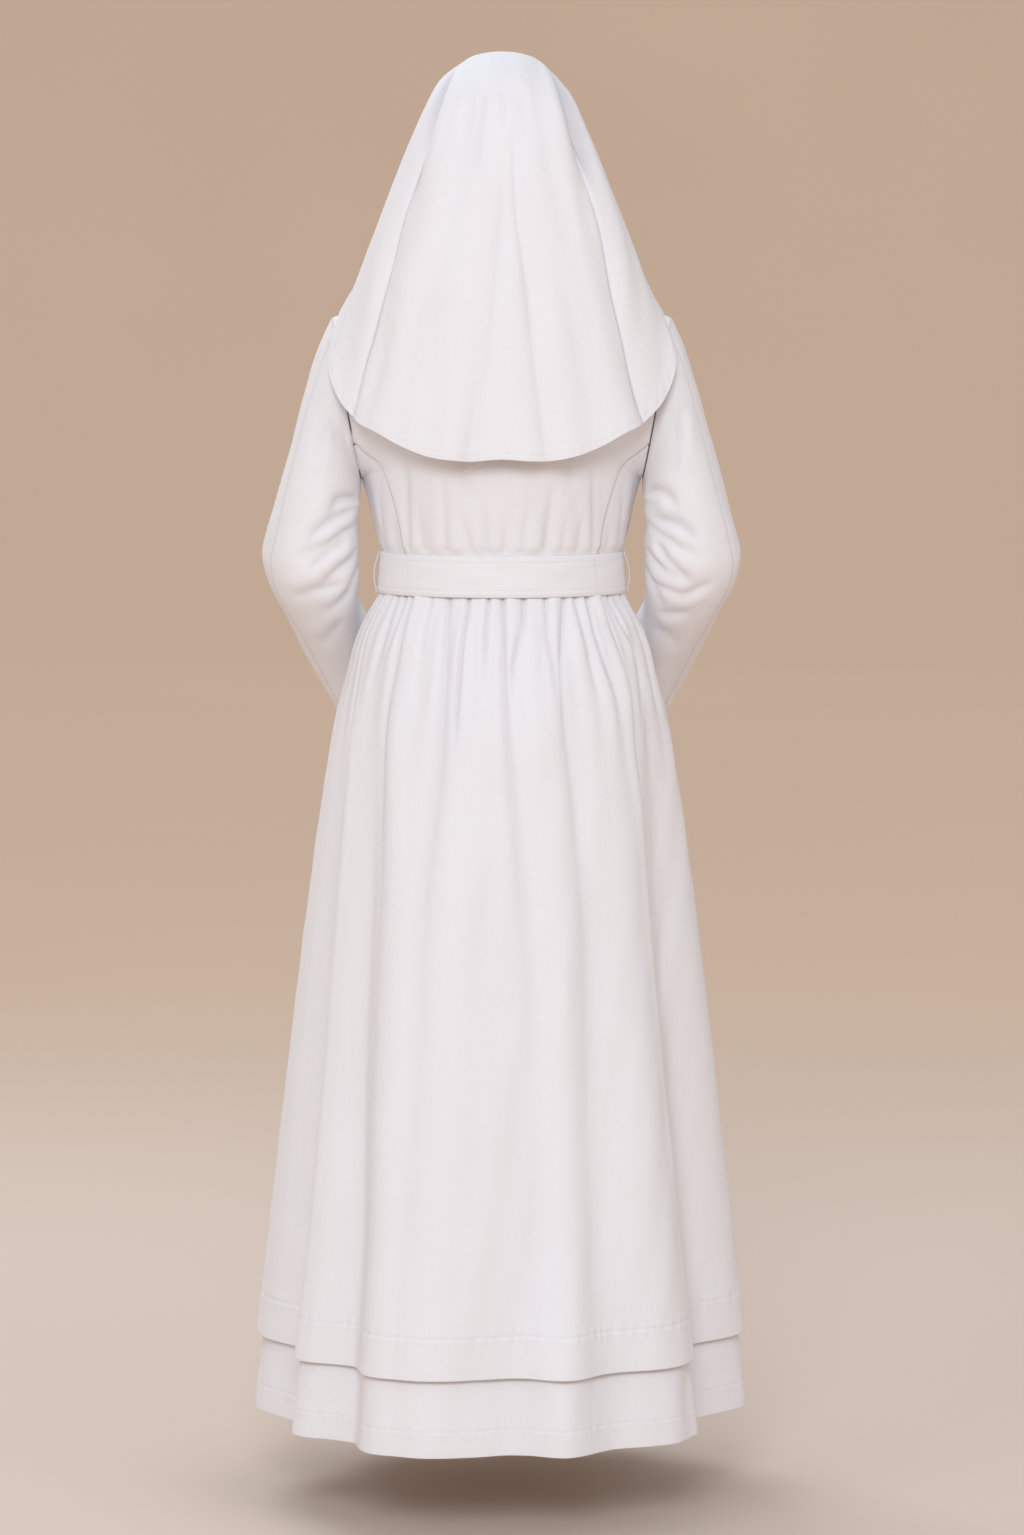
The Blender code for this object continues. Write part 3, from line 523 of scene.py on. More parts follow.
def sleeve_point(side):
    """Sleeve surface by degrees round the ring and station along the arm."""

    def point(angle, station):
        outer_x = read(SLEEVE_RINGS, "outer_x", station)
        outer_z = read(SLEEVE_RINGS, "outer_z", station)
        inner_x = read(SLEEVE_RINGS, "inner_x", station)
        inner_z = read(SLEEVE_RINGS, "inner_z", station)
        swing = np.radians(read(SLEEVE_RINGS, "swing", station))
        half_width = np.hypot(outer_x - inner_x, outer_z - inner_z) / 2
        lean = np.arctan2(outer_x - inner_x, outer_z - inner_z)
        across = points(np.sin(lean), 0.0, np.cos(lean))
        backward = points(np.cos(lean) * np.sin(swing), np.cos(swing), -np.sin(lean) * np.sin(swing))
        onward = points(np.cos(lean) * np.cos(swing), -np.sin(swing), -np.sin(lean) * np.cos(swing))
        centre = points((outer_x + inner_x) / 2, read(SLEEVE_RINGS, "y", station), (outer_z + inner_z) / 2)
        dent = sleeve_trough(station, angle % 360)
        turn = np.radians(angle)
        reach_out = (half_width - dent) * np.cos(turn)
        reach_back = (read(SLEEVE_RINGS, "depth", station) - dent) * np.sin(turn)
        clear = SEAM_GAP / 2 * np.clip(1 - station, 0, 1)
        place = (
            centre
            + across * reach_out[..., None]
            + backward * reach_back[..., None]
            + onward * np.broadcast_to(clear, reach_out.shape)[..., None]
        )
        return place * np.array([side, 1.0, 1.0])

    return point


# Veil


def veil_level(level, across):
    """One level of the veil: a quarter oval from the centre back to the side, then on to the face edge."""
    reach = np.abs(across)
    to_side = np.clip(reach / VEIL_SIDE, 0, 1) * np.pi / 2
    edge_turn = np.radians(VEIL_EDGE_TURN)
    to_edge = np.clip((reach - VEIL_SIDE) / (1 - VEIL_SIDE), 0, 1) * edge_turn
    in_share = (1 - np.cos(to_edge)) / (1 - np.cos(edge_turn))
    front_share = np.sin(to_edge) / np.sin(edge_turn)
    round_back = 1 - np.cos(to_side)
    x = level.side_x * np.sin(to_side) + (level.edge_x - level.side_x) * in_share
    side_y = level.back_y + (level.side_y - level.back_y) * round_back
    side_z = level.back_z + (level.side_z - level.back_z) * round_back
    y = side_y + (level.edge_y - level.side_y) * front_share
    z = side_z + (level.edge_z - level.side_z) * front_share
    return points(np.sign(across) * x, y, z)


def veil_base(across, way):
    """Smooth veil without folds, through its levels and its hem."""
    across, way = np.broadcast_arrays(across, way)
    reach = np.abs(across)
    hem_x = np.sign(across) * read(VEIL_HEM, "x", reach)
    hem = points(hem_x, read(VEIL_HEM, "y", reach), read(VEIL_HEM, "z", reach))
    levels = np.stack([veil_level(level, across) for level in VEIL_LEVELS] + [hem])
    ways = np.append(column(VEIL_LEVELS, "way"), VEIL_LENGTH)
    return through(ways, levels, way)


def veil_point(across, way):
    """Veil with its folds, drawn in square to the smooth veil."""
    across, way = np.broadcast_arrays(across, way)
    step = 0.002
    sideways = veil_base(across + step, way) - veil_base(across - step, way)
    down = veil_base(across, way + step) - veil_base(across, way - step)
    outward = unit(np.cross(sideways, down))
    begin = np.clip((way - VEIL_FOLD_START) / (VEIL_FOLD_FULL - VEIL_FOLD_START), 0, 1)
    total = np.zeros(across.shape)
    for fold in VEIL_FOLDS:
        centre = through(VEIL_FOLD_WAYS, (fold.crown, fold.temple, fold.nape, fold.hem), way)
        away = across * fold.side - centre
        total += fold.depth * begin * trough(away, fold.to_back, fold.to_face)
    return veil_base(across, way) - outward * total[..., None]


# Cloth relief: what the creases, ripples, hems and stitch lines add to a form

# A crease is a trough along its track. Its lip is a soft ridge beside it: above 0 on the side of rising
# first coordinates, below 0 on the other. The overlap slides the lip over the trough. It fades in over
# fade_high from its highest end and over fade_low from its lowest; 0 lets it run on.
Crease = namedtuple("Crease", "depth width lip overlap fade_low fade_high track")
# Power that shapes a trough's sides; place and width of the lip, in widths of the trough
CREASE_SHARPNESS = 1.5
LIP_AWAY = 2.0
LIP_WIDTH = 1.5

# Hanging folds of the skirts as they fall: deep troughs whose middle follows a track of (angle, height)
HangingFold = namedtuple("HangingFold", "depth before after top track")
HANGING_FOLDS = table(
    HangingFold,
    (0.036, 13.0, 7.0, 1.04, ((24, 0.194), (25, 0.33), (25, 0.52), (23, 0.73), (18, 1.04))),
    (0.031, 10.0, 5.5, 1.03, ((49, 0.194), (49, 0.36), (47, 0.49), (44, 0.76), (38, 1.03))),
    (0.033, 13.0, 12.0, 0.96, ((92, 0.194), (97, 0.36), (98, 0.50), (95, 0.76), (91, 0.96))),
    (0.028, 9.0, 12.0, 1.00, ((119, 0.194), (118, 0.42), (119, 0.68), (117, 0.84), (117, 1.00))),
    (0.055, 14.0, 13.0, 1.04, ((158, 0.194), (155, 0.50), (153, 0.67), (154, 0.84), (158, 1.04))),
    (0.034, 13.0, 7.0, 1.03, ((205, 0.194), (201, 0.60), (196, 1.03))),
    (0.032, 9.0, 8.0, 1.00, ((233, 0.194), (231, 0.60), (222, 1.00))),
    (0.030, 10.0, 10.0, 0.97, ((262, 0.194), (260, 0.60), (264, 0.97))),
    (0.034, 9.0, 8.0, 1.00, ((291, 0.194), (296, 0.60), (296, 1.00))),
    (0.036, 7.0, 12.0, 1.03, ((327, 0.194), (330, 0.60), (338, 1.03))),
)
# The part of the evenly made gathers that stays beside the listed ones
GATHER_SHARE = 0.35

# Creases of the skirt's back, by (angle, height): the long ones, a soft one, and the short ones at the waist
LONG_CREASES = table(
    Crease,
    (0.0085, 0.0042, 0.0030, 0.0060, 0, 0, (
        (21, 1.070), (21.5, 1.02), (23, 0.94), (27.5, 0.835),
        (29, 0.735), (31, 0.515), (32, 0.33), (31, 0.20))),
    (0.0050, 0.0055, 0.0035, 0.0030, 0, 0, (
        (44, 1.070), (46, 1.025), (46, 0.94), (48.5, 0.84),
        (51, 0.76), (52, 0.67), (53, 0.49), (54.5, 0.20))),
    (0.0055, 0.0065, 0, 0, 0, 0, (
        (64.5, 1.07), (67, 1.03), (69.5, 0.895), (67.5, 0.745), (66.5, 0.545), (65, 0.20))),
    (0.0065, 0.0055, 0.0020, 0.0015, 0, 0, (
        (91, 1.070), (91, 1.03), (91.5, 0.96), (93, 0.88), (96, 0.76), (99, 0.58), (99.5, 0.36), (97, 0.20))),
    (0.0050, 0.0060, -0.0020, 0.0010, 0, 0, (
        (120.5, 1.07), (114.5, 1.025), (112, 0.95), (114, 0.84), (115.5, 0.68), (115, 0.545), (113, 0.20))),
    (0.0075, 0.0042, -0.0030, 0.0070, 0, 0, (
        (142, 1.07), (140, 1.035), (144, 0.955), (142.5, 0.90), (144, 0.84), (144.5, 0.67), (147, 0.20))),
)
SOFT_CREASES = table(
    Crease,
    (0.0045, 0.0090, 0, 0, 0, 0.10, (
        (87, 0.81), (83, 0.68), (82, 0.565), (80, 0.40), (79, 0.20))),
)
GATHER_CREASES = table(
    Crease,
    (0.0045, 0.0036, 0, 0, 0.06, 0, ((32, 1.07), (34.5, 1.03), (34, 0.985), (32, 0.945))),
    (0.0040, 0.0034, 0, 0, 0.06, 0, ((38, 1.07), (40, 1.04), (40, 0.99))),
    (0.0035, 0.0036, 0, 0, 0.08, 0, ((55.5, 1.07), (57, 1.025), (56.5, 0.93))),
    (0.0065, 0.0034, 0, 0, 0.09, 0, ((74.5, 1.07), (74.5, 1.04), (74, 0.955), (75, 0.87))),
    (0.0060, 0.0034, 0, 0, 0.08, 0, ((84, 1.07), (83.5, 1.015), (84, 0.95))),
    (0.0065, 0.0034, 0, 0, 0.08, 0, ((100.5, 1.07), (98.5, 1.04), (95.5, 1.005), (95, 0.93))),
    (0.0065, 0.0034, 0, 0, 0.08, 0, ((111, 1.07), (109, 1.03), (110, 0.985), (110, 0.94))),
    (0.0030, 0.0036, 0, 0, 0.06, 0, ((127, 1.07), (125.5, 1.04), (126, 1.01), (128, 0.94))),
    (0.0055, 0.0036, 0, 0, 0.08, 0, ((134, 1.07), (131.5, 1.04), (132.5, 1.0), (136, 0.955), (133, 0.91))),
    (0.0055, 0.0036, 0, 0, 0.08, 0, ((150.5, 1.07), (150, 1.035), (156, 0.99), (152, 0.94), (150, 0.91))),
    (0.0045, 0.0040, 0, 0, 0.08, 0, ((8, 1.07), (9, 1.02), (8, 0.96), (7, 0.90))),
    (0.0045, 0.0040, 0, 0, 0.08, 0, ((166, 1.07), (168, 1.02), (167, 0.96), (168, 0.90))),
    (0.0030, 0.0040, 0, 0, 0.08, 0, ((178, 1.07), (179, 1.02), (181, 0.97))),
)
# The front's creases are the back's, mirrored and turned this far
FRONT_TURN = 4
# How much wider the skirt's creases are, by height
CREASE_SPREAD_HEIGHTS = (0.10, 0.45, 0.75, 0.95, 1.08)
CREASE_SPREADS = (3.6, 3.2, 2.2, 1.2, 0.80)
# A crease with an overlap from this size on stays sharp: it widens no more than the spread below
SHARP_OVERLAP = 0.005
SHARP_SPREAD = 1.3
# What is left of the other creases' depth, by height
SOFT_DEPTH_SHARES = (0.55, 0.50, 0.55, 0.85, 1.0)

# Veil creases, by (across, way): above 0 on the left, below 0 on the right
VEIL_CREASES = table(
    Crease,
    (0.0075, 0.0038, -0.0040, 0.0100, 0.06, 0, (
        (0.20, 0.07), (0.285, 0.225), (0.31, 0.31), (0.325, 0.39),
        (0.37, 0.47), (0.415, 0.54), (0.44, 0.61))),
    (0.0075, 0.0038, 0.0040, 0.0100, 0.06, 0, (
        (-0.25, 0.07), (-0.267, 0.19), (-0.295, 0.26), (-0.30, 0.32),
        (-0.315, 0.42), (-0.36, 0.50), (-0.415, 0.61))),
    (0.0150, 0.0110, 0, 0, 0.05, 0.12, ((0.255, 0.05), (0.325, 0.18), (0.335, 0.28))),
    (0.0180, 0.0150, 0, 0, 0.05, 0.12, ((-0.32, 0.04), (-0.345, 0.18), (-0.355, 0.32))),
    (0.0034, 0.0055, 0, 0, 0.03, 0.03, ((0.07, 0.17), (0.080, 0.23), (0.088, 0.30))),
    (0.0030, 0.0045, 0, 0, 0.03, 0.04, ((-0.005, 0.16), (-0.005, 0.20), (-0.012, 0.25))),
    (0.0028, 0.0060, 0, 0, 0.03, 0.05, ((-0.075, 0.17), (-0.09, 0.22), (-0.115, 0.28))),
    (0.0022, 0.0060, 0, 0, 0.04, 0.04, ((0.12, 0.14), (0.13, 0.20), (0.14, 0.27))),
    (0.0034, 0.0060, 0.0024, 0.0040, 0.16, 0, (
        (0.0, 0.22), (0.015, 0.31), (0.03, 0.385), (0.048, 0.465), (0.085, 0.565), (0.105, 0.61))),
    (0.0038, 0.0060, -0.0024, 0.0040, 0.14, 0, (
        (-0.035, 0.20), (-0.045, 0.26), (-0.052, 0.335), (-0.07, 0.40), (-0.095, 0.485), (-0.14, 0.61))),
    (0.0028, 0.0085, 0, 0, 0.10, 0, ((0.17, 0.36), (0.21, 0.445), (0.25, 0.51), (0.285, 0.61))),
    (0.0024, 0.0085, 0, 0, 0.10, 0, ((-0.13, 0.34), (-0.177, 0.435), (-0.22, 0.505), (-0.26, 0.61))),
    (0.0026, 0.0100, 0.0012, 0, 0.12, 0, ((0.55, 0.25), (0.62, 0.40), (0.68, 0.61))),
    (0.0026, 0.0100, -0.0012, 0, 0.12, 0, ((-0.54, 0.24), (-0.63, 0.40), (-0.69, 0.61))),
    (0.0035, 0.0080, 0, 0, 0.12, 0, ((0.76, 0.22), (0.86, 0.42), (0.90, 0.61))),
    (0.0035, 0.0080, 0, 0, 0.12, 0, ((-0.77, 0.22), (-0.84, 0.42), (-0.91, 0.61))),
)

# Bodice creases above the belt, by (share, fraction)
BACK_CREASES = table(
    Crease,
    (0.0040, 0.0055, 0, 0, 0, 0.22, ((0.56, 0.44), (0.552, 0.205), (0.556, 0.08))),
    (0.0036, 0.0060, 0, 0, 0, 0.20, ((0.318, 0.40), (0.304, 0.21), (0.304, 0.08))),
    (0.0024, 0.0055, 0, 0, 0, 0.12, ((0.475, 0.26), (0.452, 0.08))),
    (0.0024, 0.0055, 0, 0, 0, 0.12, ((0.225, 0.24), (0.16, 0.08))),
    (0.0030, 0.0060, 0, 0, 0, 0.16, ((0.092, 0.30), (0.075, 0.08))),
    (0.0020, 0.0050, 0, 0, 0, 0.12, ((-0.02, 0.24), (-0.015, 0.08))),
    (0.0030, 0.0060, 0, 0, 0, 0.16, ((-0.14, 0.28), (-0.108, 0.08))),
    (0.0036, 0.0060, 0, 0, 0, 0.20, ((-0.27, 0.36), (-0.232, 0.08))),
    (0.0022, 0.0055, 0, 0, 0, 0.10, ((-0.35, 0.22), (-0.33, 0.08))),
    (0.0024, 0.0055, 0, 0, 0, 0.10, ((-0.455, 0.22), (-0.432, 0.08))),
    (0.0040, 0.0055, 0, 0, 0, 0.22, ((-0.515, 0.42), (-0.544, 0.08))),
    (0.0026, 0.0065, 0, 0, 0, 0.12, ((0.80, 0.30), (0.83, 0.08))),
    (0.0026, 0.0065, 0, 0, 0, 0.12, ((-0.78, 0.30), (-0.82, 0.08))),
    (0.0030, 0.0110, 0, 0, 0.10, 0.20, ((0.20, 0.62), (0.17, 0.22))),
    (0.0030, 0.0110, 0, 0, 0.10, 0.20, ((-0.36, 0.62), (-0.37, 0.22))),
)

# Sleeve creases, by (angle, station), one table for each side
LEFT_SLEEVE_CREASES = table(
    Crease,
    (0.0040, 0.0065, 0, 0, 0, 0, ((86, 2.0), (102, 1.2), (120, 0.5))),
    (0.0030, 0.0080, 0, 0, 0, 0, ((64, 3.6), (74, 2.2), (92, 0.9))),
    (0.0085, 0.0065, -0.0040, 0, 0, 0, ((165, 2.6), (124, 3.75), (104, 4.6))),
    (0.0090, 0.0065, -0.0045, 0, 0, 0, ((158, 3.8), (111, 4.85), (95, 5.35), (82, 6.1))),
    (0.0070, 0.0060, -0.0035, 0, 0, 0, ((150, 5.4), (115, 6.1), (100, 6.55), (90, 7.1))),
    (0.0055, 0.0060, -0.0030, 0, 0, 0, ((58, 8.1), (92, 7.65), (116, 7.65), (140, 7.65))),
    (0.0045, 0.0060, -0.0022, 0, 0, 0, ((88, 8.75), (120, 8.5), (152, 8.35))),
    (0.0045, 0.0070, -0.0020, 0, 0, 0, ((60, 10.2), (88, 9.7), (120, 9.3))),
    (0.0050, 0.0080, 0, 0, 0, 0, ((200, 6.2), (215, 7.2), (240, 7.9))),
    (0.0040, 0.0080, 0, 0, 0, 0, ((275, 3.4), (300, 4.8), (320, 6.3))),
    (0.0040, 0.0080, 0, 0, 0, 0, ((280, 8.9), (310, 9.8), (330, 11.2))),
)
RIGHT_SLEEVE_CREASES = table(
    Crease,
    (0.0080, 0.0065, -0.0040, 0, 0, 0, ((160, 2.0), (117, 3.55), (98, 4.6))),
    (0.0085, 0.0065, -0.0042, 0, 0, 0, ((155, 4.4), (107, 4.95), (90, 5.45), (76, 6.1))),
    (0.0075, 0.0060, -0.0035, 0, 0, 0, ((148, 5.4), (125, 6.5), (108, 7.0), (84, 7.6))),
    (0.0055, 0.0060, -0.0028, 0, 0, 0, ((160, 8.0), (119, 7.85), (97, 7.9), (82, 7.6), (56, 7.3))),
    (0.0042, 0.0060, -0.0020, 0, 0, 0, ((126, 9.2), (95, 8.75), (78, 8.5))),
    (0.0045, 0.0070, -0.0020, 0, 0, 0, ((124, 9.9), (92, 9.8), (62, 10.3))),
    (0.0040, 0.0080, 0.0030, 0, 0, 0, ((62, 1.6), (84, 2.6), (100, 3.4))),
    (0.0032, 0.0080, 0, 0, 0, 0, ((92, 0.7), (76, 1.9), (66, 3.8))),
    (0.0050, 0.0080, 0, 0, 0, 0, ((200, 6.2), (215, 7.2), (240, 7.9))),
    (0.0040, 0.0080, 0, 0, 0, 0, ((270, 3.2), (296, 4.6), (318, 6.1))),
    (0.0040, 0.0080, 0, 0, 0, 0, ((284, 9.0), (308, 9.9), (334, 11.0))),
)
# The part of the sleeve creases' depth that is used
SLEEVE_CREASE_SHARE = 0.72

# Hems: how far the stitch line runs from the edge, and the relief of the band that it holds
Hem = namedtuple("Hem", "stitch band groove pucker tick")
OVERSKIRT_EDGE = Hem(0.047, 0.0005, 0.0006, 0.0009, 0.014)
UNDERSKIRT_EDGE = Hem(0.029, 0.0004, 0.0005, 0.0007, 0.014)
VEIL_EDGE = Hem(0.007, 0.0002, 0.0003, 0.0004, 0.012)
CUFF_EDGE = Hem(0.025, 0.0004, 0.0006, 0.0005, 0.010)
GROOVE_WIDTH = 0.0014
PUCKER_REACH = 0.0085
# Belt: distances of its stitch lines from both edges, and the angles of its upright seams
BELT_STITCH_LINES = (0.002, 0.007)
BELT_JOINS = (40, 140, 228, 312)

# Ripples of each cloth: how many waves there are, how wide and how long they are, and how high
Ripples = namedtuple("Ripples", "count across along height")
OVERSKIRT_RIPPLES = Ripples(9, (0.045, 0.110), (0.9, 2.4), 0.0010)
UNDERSKIRT_RIPPLES = Ripples(7, (0.040, 0.090), (0.3, 0.7), 0.0016)
VEIL_RIPPLES = Ripples(8, (0.030, 0.080), (0.2, 0.6), 0.0010)
BODICE_RIPPLES = Ripples(9, (0.035, 0.090), (0.08, 0.3), 0.0011)
SLEEVE_TURN = 2 * np.pi * MEAN_ARM_RADIUS
SLEEVE_RIPPLES = Ripples(9, (SLEEVE_TURN / 7, SLEEVE_TURN / 3), (0.05, 0.2), 0.0010)
BELT_RIPPLES = Ripples(7, (0.060, 0.160), (0.014, 0.034), 0.0007)
# Mean sizes that turn a place on a piece into metres: half widths of veil, veil hem, bodice and belt
VEIL_HALF_WIDTH = 0.26
VEIL_HEM_HALF_WIDTH = 0.36
BODICE_HALF_WIDTH = 0.21
BODICE_HEIGHT = 0.40
BELT_RADIUS = 0.14
# The bodice is smooth up to this fraction, which the belt covers, and rippled a little above it
BODICE_COVERED = 0.0708

# Belt edges, stitch lines and upright seams: depth and width of each groove
Groove = namedtuple("Groove", "depth width")
BELT_EDGE_GROOVE = Groove(0.0010, 0.0012)
BELT_STITCH_GROOVE = Groove(0.0004, 0.0007)
BELT_SEAM_GROOVE = Groove(0.0005, 0.0009)

# Seams: how far the cloth's edges roll in, over what width, and how wide their painted shade is
ROLL_DEPTH = 0.0014
ROLL_WIDTH = 0.0016
SEAM_SHADE_WIDTH = 0.0011
# How far in from its edges the cloth is worn, and the names of a piece's two side edges
WEAR_WIDTH = 0.004
SIDE_EDGES = ("first_u", "last_u")
# Where the two extra rows beside a free edge lie, as shares of the first gap between rows
EDGE_SHARES = (0.05, 0.18)
# How strongly the columns are drawn together beside the sharp creases
COLUMN_PULL = 0.60


def smooth_step(x):
    x = np.clip(x, 0, 1)
    return x * x * (3 - 2 * x)


def down_track(track, u, v, turn=0):
    """Distance, in the first coordinate, from a track that runs along the second one."""
    rising = sorted(track, key=lambda place: place[1])
    centre = through([place[1] for place in rising], [place[0] for place in rising], v)
    away = u - centre
    if turn:
        away = (away + turn / 2) % turn - turn / 2
    return away, rising[0][1], rising[-1][1]


def crease_profile(crease, away, width):
    """Lift and slide of a crease at a distance from its track, both in metres."""
    side = np.sign(crease.lip)
    dent = np.exp(-np.abs(away / width) ** CREASE_SHARPNESS)
    ridge = np.exp(-(((away - side * LIP_AWAY * width) / (LIP_WIDTH * width)) ** 2))
    lift = abs(crease.lip) * ridge - crease.depth * dent
    slide = -side * crease.overlap * np.exp(-(((away - side * width) / (LIP_WIDTH * width)) ** 2))
    return lift, slide


def creases_down(creases, u, v, metres, spread, turn=0, share=1.0):
    """Lift and slide of creases whose tracks run along the second coordinate.

    The share scales the soft creases' depth; the sharp ones keep theirs.
    """
    lift = np.zeros(u.shape)
    slide = np.zeros(u.shape)
    for crease in creases:
        away, low, high = down_track(crease.track, u, v, turn)
        strength = np.ones(u.shape)
        if crease.fade_low:
            strength = strength * smooth_step((v - low) / crease.fade_low)
        if crease.fade_high:
            strength = strength * smooth_step((high - v) / crease.fade_high)
        if crease.overlap >= SHARP_OVERLAP:
            wide = np.minimum(spread, SHARP_SPREAD)
        else:
            wide = spread
            strength = strength * share
        up, along = crease_profile(crease, away * metres, crease.width * wide)
        lift += strength * up
        slide += strength * along
    return lift, slide


def creases_along(creases, x, y, scale):
    """Lift of creases with tracks in any direction; x and y are in metres."""
    lift = np.zeros(x.shape)
    for crease in creases:
        track = np.array(crease.track) * scale
        runs = np.diff(track, axis=0)
        lengths = np.hypot(runs[:, 0], runs[:, 1])
        nearest = np.full(x.shape, np.inf)
        side = np.ones(x.shape)
        way = np.zeros(x.shape)
        passed = 0.0
        for start, run, length in zip(track, runs, lengths):
            part = ((x - start[0]) * run[0] + (y - start[1]) * run[1]) / length ** 2
            part = np.clip(part, 0, 1)
            off_x = x - start[0] - part * run[0]
            off_y = y - start[1] - part * run[1]
            distance = np.hypot(off_x, off_y)
            closer = distance < nearest
            nearest = np.where(closer, distance, nearest)
            side = np.where(closer, np.sign(run[0] * off_y - run[1] * off_x), side)
            way = np.where(closer, (passed + part * length) / lengths.sum(), way)
            passed += length
        strength = smooth_step(way * 3.5) * smooth_step((1 - way) * 3.5)
        lift += strength * crease_profile(crease, nearest * side, crease.width)[0]
    return lift


def ripples(x, y, seed, kind):
    """Slight unevenness of hanging cloth: a few long waves, stronger here and weaker there."""
    chance = np.random.default_rng(seed)
    total = np.zeros(np.broadcast(x, y).shape)
    for _ in range(kind.count):
        wave = chance.uniform(*kind.across)
        length = chance.uniform(*kind.along) * chance.choice((-1, 1))
        phase = chance.uniform(0, 2 * np.pi, 2)
        swell = 0.5 + 0.5 * np.sin(2 * np.pi * (x / (4.3 * wave) - y / (1.7 * length)) + phase[1])
        total += swell * np.sin(2 * np.pi * (x / wave + y / length) + phase[0])
    return kind.height * total / np.sqrt(kind.count)


def hem_relief(hem, along, rise):
    """Turned-up band, stitch groove and small puckers; rise is the distance from the cloth's edge."""
    off = rise - hem.stitch
    band = hem.band * smooth_step(-off / 0.002)
    groove = hem.groove * np.exp(-((off / GROOVE_WIDTH) ** 2))
    drift = 1.7 * np.sin(along * 2 * np.pi / 0.083) + 0.9 * np.sin(along * 2 * np.pi / 0.037)
    ticks = np.sin(along * 2 * np.pi / hem.tick + drift)
    strength = 0.6 + 0.4 * np.sin(along * 2 * np.pi / 0.21 + 1.0)
    return band - groove + hem.pucker * strength * ticks * np.exp(-((off / PUCKER_REACH) ** 2))


def dressed(form, outward, relief, first, last, full=0.006, shading=0.55):
    """Surface of a cloth piece: its form, lifted square to it and slid along it by the relief.

    The second function tells how much painted shade the hollows of its creases get in their colour.
    """
    step_u = (last[0] - first[0]) * 5e-4
    step_v = (last[1] - first[1]) * 5e-4

    def surface(u, v):
        mid_v = np.clip(v, first[1] + step_v, last[1] - step_v)
        slope_u = (form(u + step_u, mid_v) - form(u - step_u, mid_v)) / (2 * step_u)
        slope_v = (form(u, mid_v + step_v) - form(u, mid_v - step_v)) / (2 * step_v)
        normal = unit(np.cross(slope_u, slope_v)) * outward
        size_u = np.linalg.norm(slope_u, axis=-1)
        lift, slide = relief(u, v, size_u)
        return form(u, v) + normal * lift[..., None] + unit(slope_u) * slide[..., None]

    def shade(u, v):
        size_u = np.linalg.norm((form(u + step_u, v) - form(u - step_u, v)) / (2 * step_u), axis=-1)
        return shading * hollow_shade(relief(u, v, size_u)[0], full)

    return surface, shade


# Forms of the pieces


def fold_depth(angle, height):
    """How far the hanging folds draw the skirt in."""
    total = np.zeros(np.broadcast(angle, height).shape)
    for fold in HANGING_FOLDS:
        fall = np.clip((fold.top - height) / (fold.top - OVERSKIRT_HEM), 0, 1)
        away = down_track(fold.track, angle, height, 360)[0]
        grown = fall ** FOLD_GROWTH * smooth_step(fall / FOLD_ONSET)
        total += fold.depth * grown * trough(away, fold.before, fold.after)
    return total


def mirrored(creases):
    """The same creases on the other half of the skirt."""
    made = []
    for crease in creases:
        track = tuple((360 - angle + FRONT_TURN, height) for angle, height in crease.track)
        made.append(crease._replace(lip=-crease.lip, track=track))
    return tuple(made)


BACK_SKIRT_CREASES = LONG_CREASES + SOFT_CREASES + GATHER_CREASES
SKIRT_CREASES = BACK_SKIRT_CREASES + mirrored(BACK_SKIRT_CREASES)
SHARP_CREASES = tuple(crease for crease in SKIRT_CREASES if crease.overlap >= SHARP_OVERLAP)


def hollow_shade(lift, full):
    """How much painted shade the hollow of a crease gets, from 0 on even cloth to 1 at its full depth."""
    return smooth_step(-lift / full)


def skirt_shade(angle, height):
    """Painted shade of the skirt's creases: the sharp ones in full, the others mostly near the waist."""
    metres = np.radians(1) * read(SKIRT_RINGS, "half_width", height)
    spread = np.interp(height, CREASE_SPREAD_HEIGHTS, CREASE_SPREADS)
    sharp = creases_down(SHARP_CREASES, angle, height, metres, spread, 360)[0]
    soft = creases_down(SKIRT_CREASES, angle, height, metres, spread, 360)[0]
    shaded = np.interp(height, (0.5, 0.95), (0.15, 0.60))
    return np.maximum(hollow_shade(sharp, 0.006), hollow_shade(soft, 0.007) * shaded)


def skirt_form(angle, height):
    """Both skirts' common form: the angle that the slid cloth comes to, and how far it stands out."""
    radius = read(SKIRT_RINGS, "half_width", height)
    spread = np.interp(height, CREASE_SPREAD_HEIGHTS, CREASE_SPREADS)
    share = np.interp(height, CREASE_SPREAD_HEIGHTS, SOFT_DEPTH_SHARES)
    lift, slide = creases_down(SKIRT_CREASES, angle, height, np.radians(1) * radius, spread, 360, share)
    turn = angle + np.degrees(slide / radius)
    return turn, lift - fold_depth(turn, height), radius


def overskirt_surface(angle, height):
    angle, height = np.broadcast_arrays(angle, height)
    turn, outward, radius = skirt_form(angle, height)
    along = np.radians(angle) * radius
    outward = outward + GATHER_SHARE * gather_height(angle, height)
    outward = outward + ripples(along, height, 11, OVERSKIRT_RIPPLES)
    hem_along = np.radians(angle) * SKIRT_RINGS[1].half_width
    outward = outward + hem_relief(OVERSKIRT_EDGE, hem_along, height - OVERSKIRT_HEM)
    return skirt_outline(turn, height, outward)


def underskirt_surface(angle, height):
    angle, height = np.broadcast_arrays(angle, height)
    covered = np.maximum(height, OVERSKIRT_HEM)
    turn, outward, radius = skirt_form(angle, covered)
    along = np.radians(angle) * SKIRT_RINGS[0].half_width
    free = smooth_step((OVERSKIRT_HEM - height) / 0.03)
    outward = outward - read(UNDERSKIRT_INSETS, "inset", height)
    outward = outward + free * ripples(along, height, 23, UNDERSKIRT_RIPPLES)
    outward = outward + hem_relief(UNDERSKIRT_EDGE, along, height - UNDERSKIRT_HEM)
    return skirt_outline(turn, height, outward)


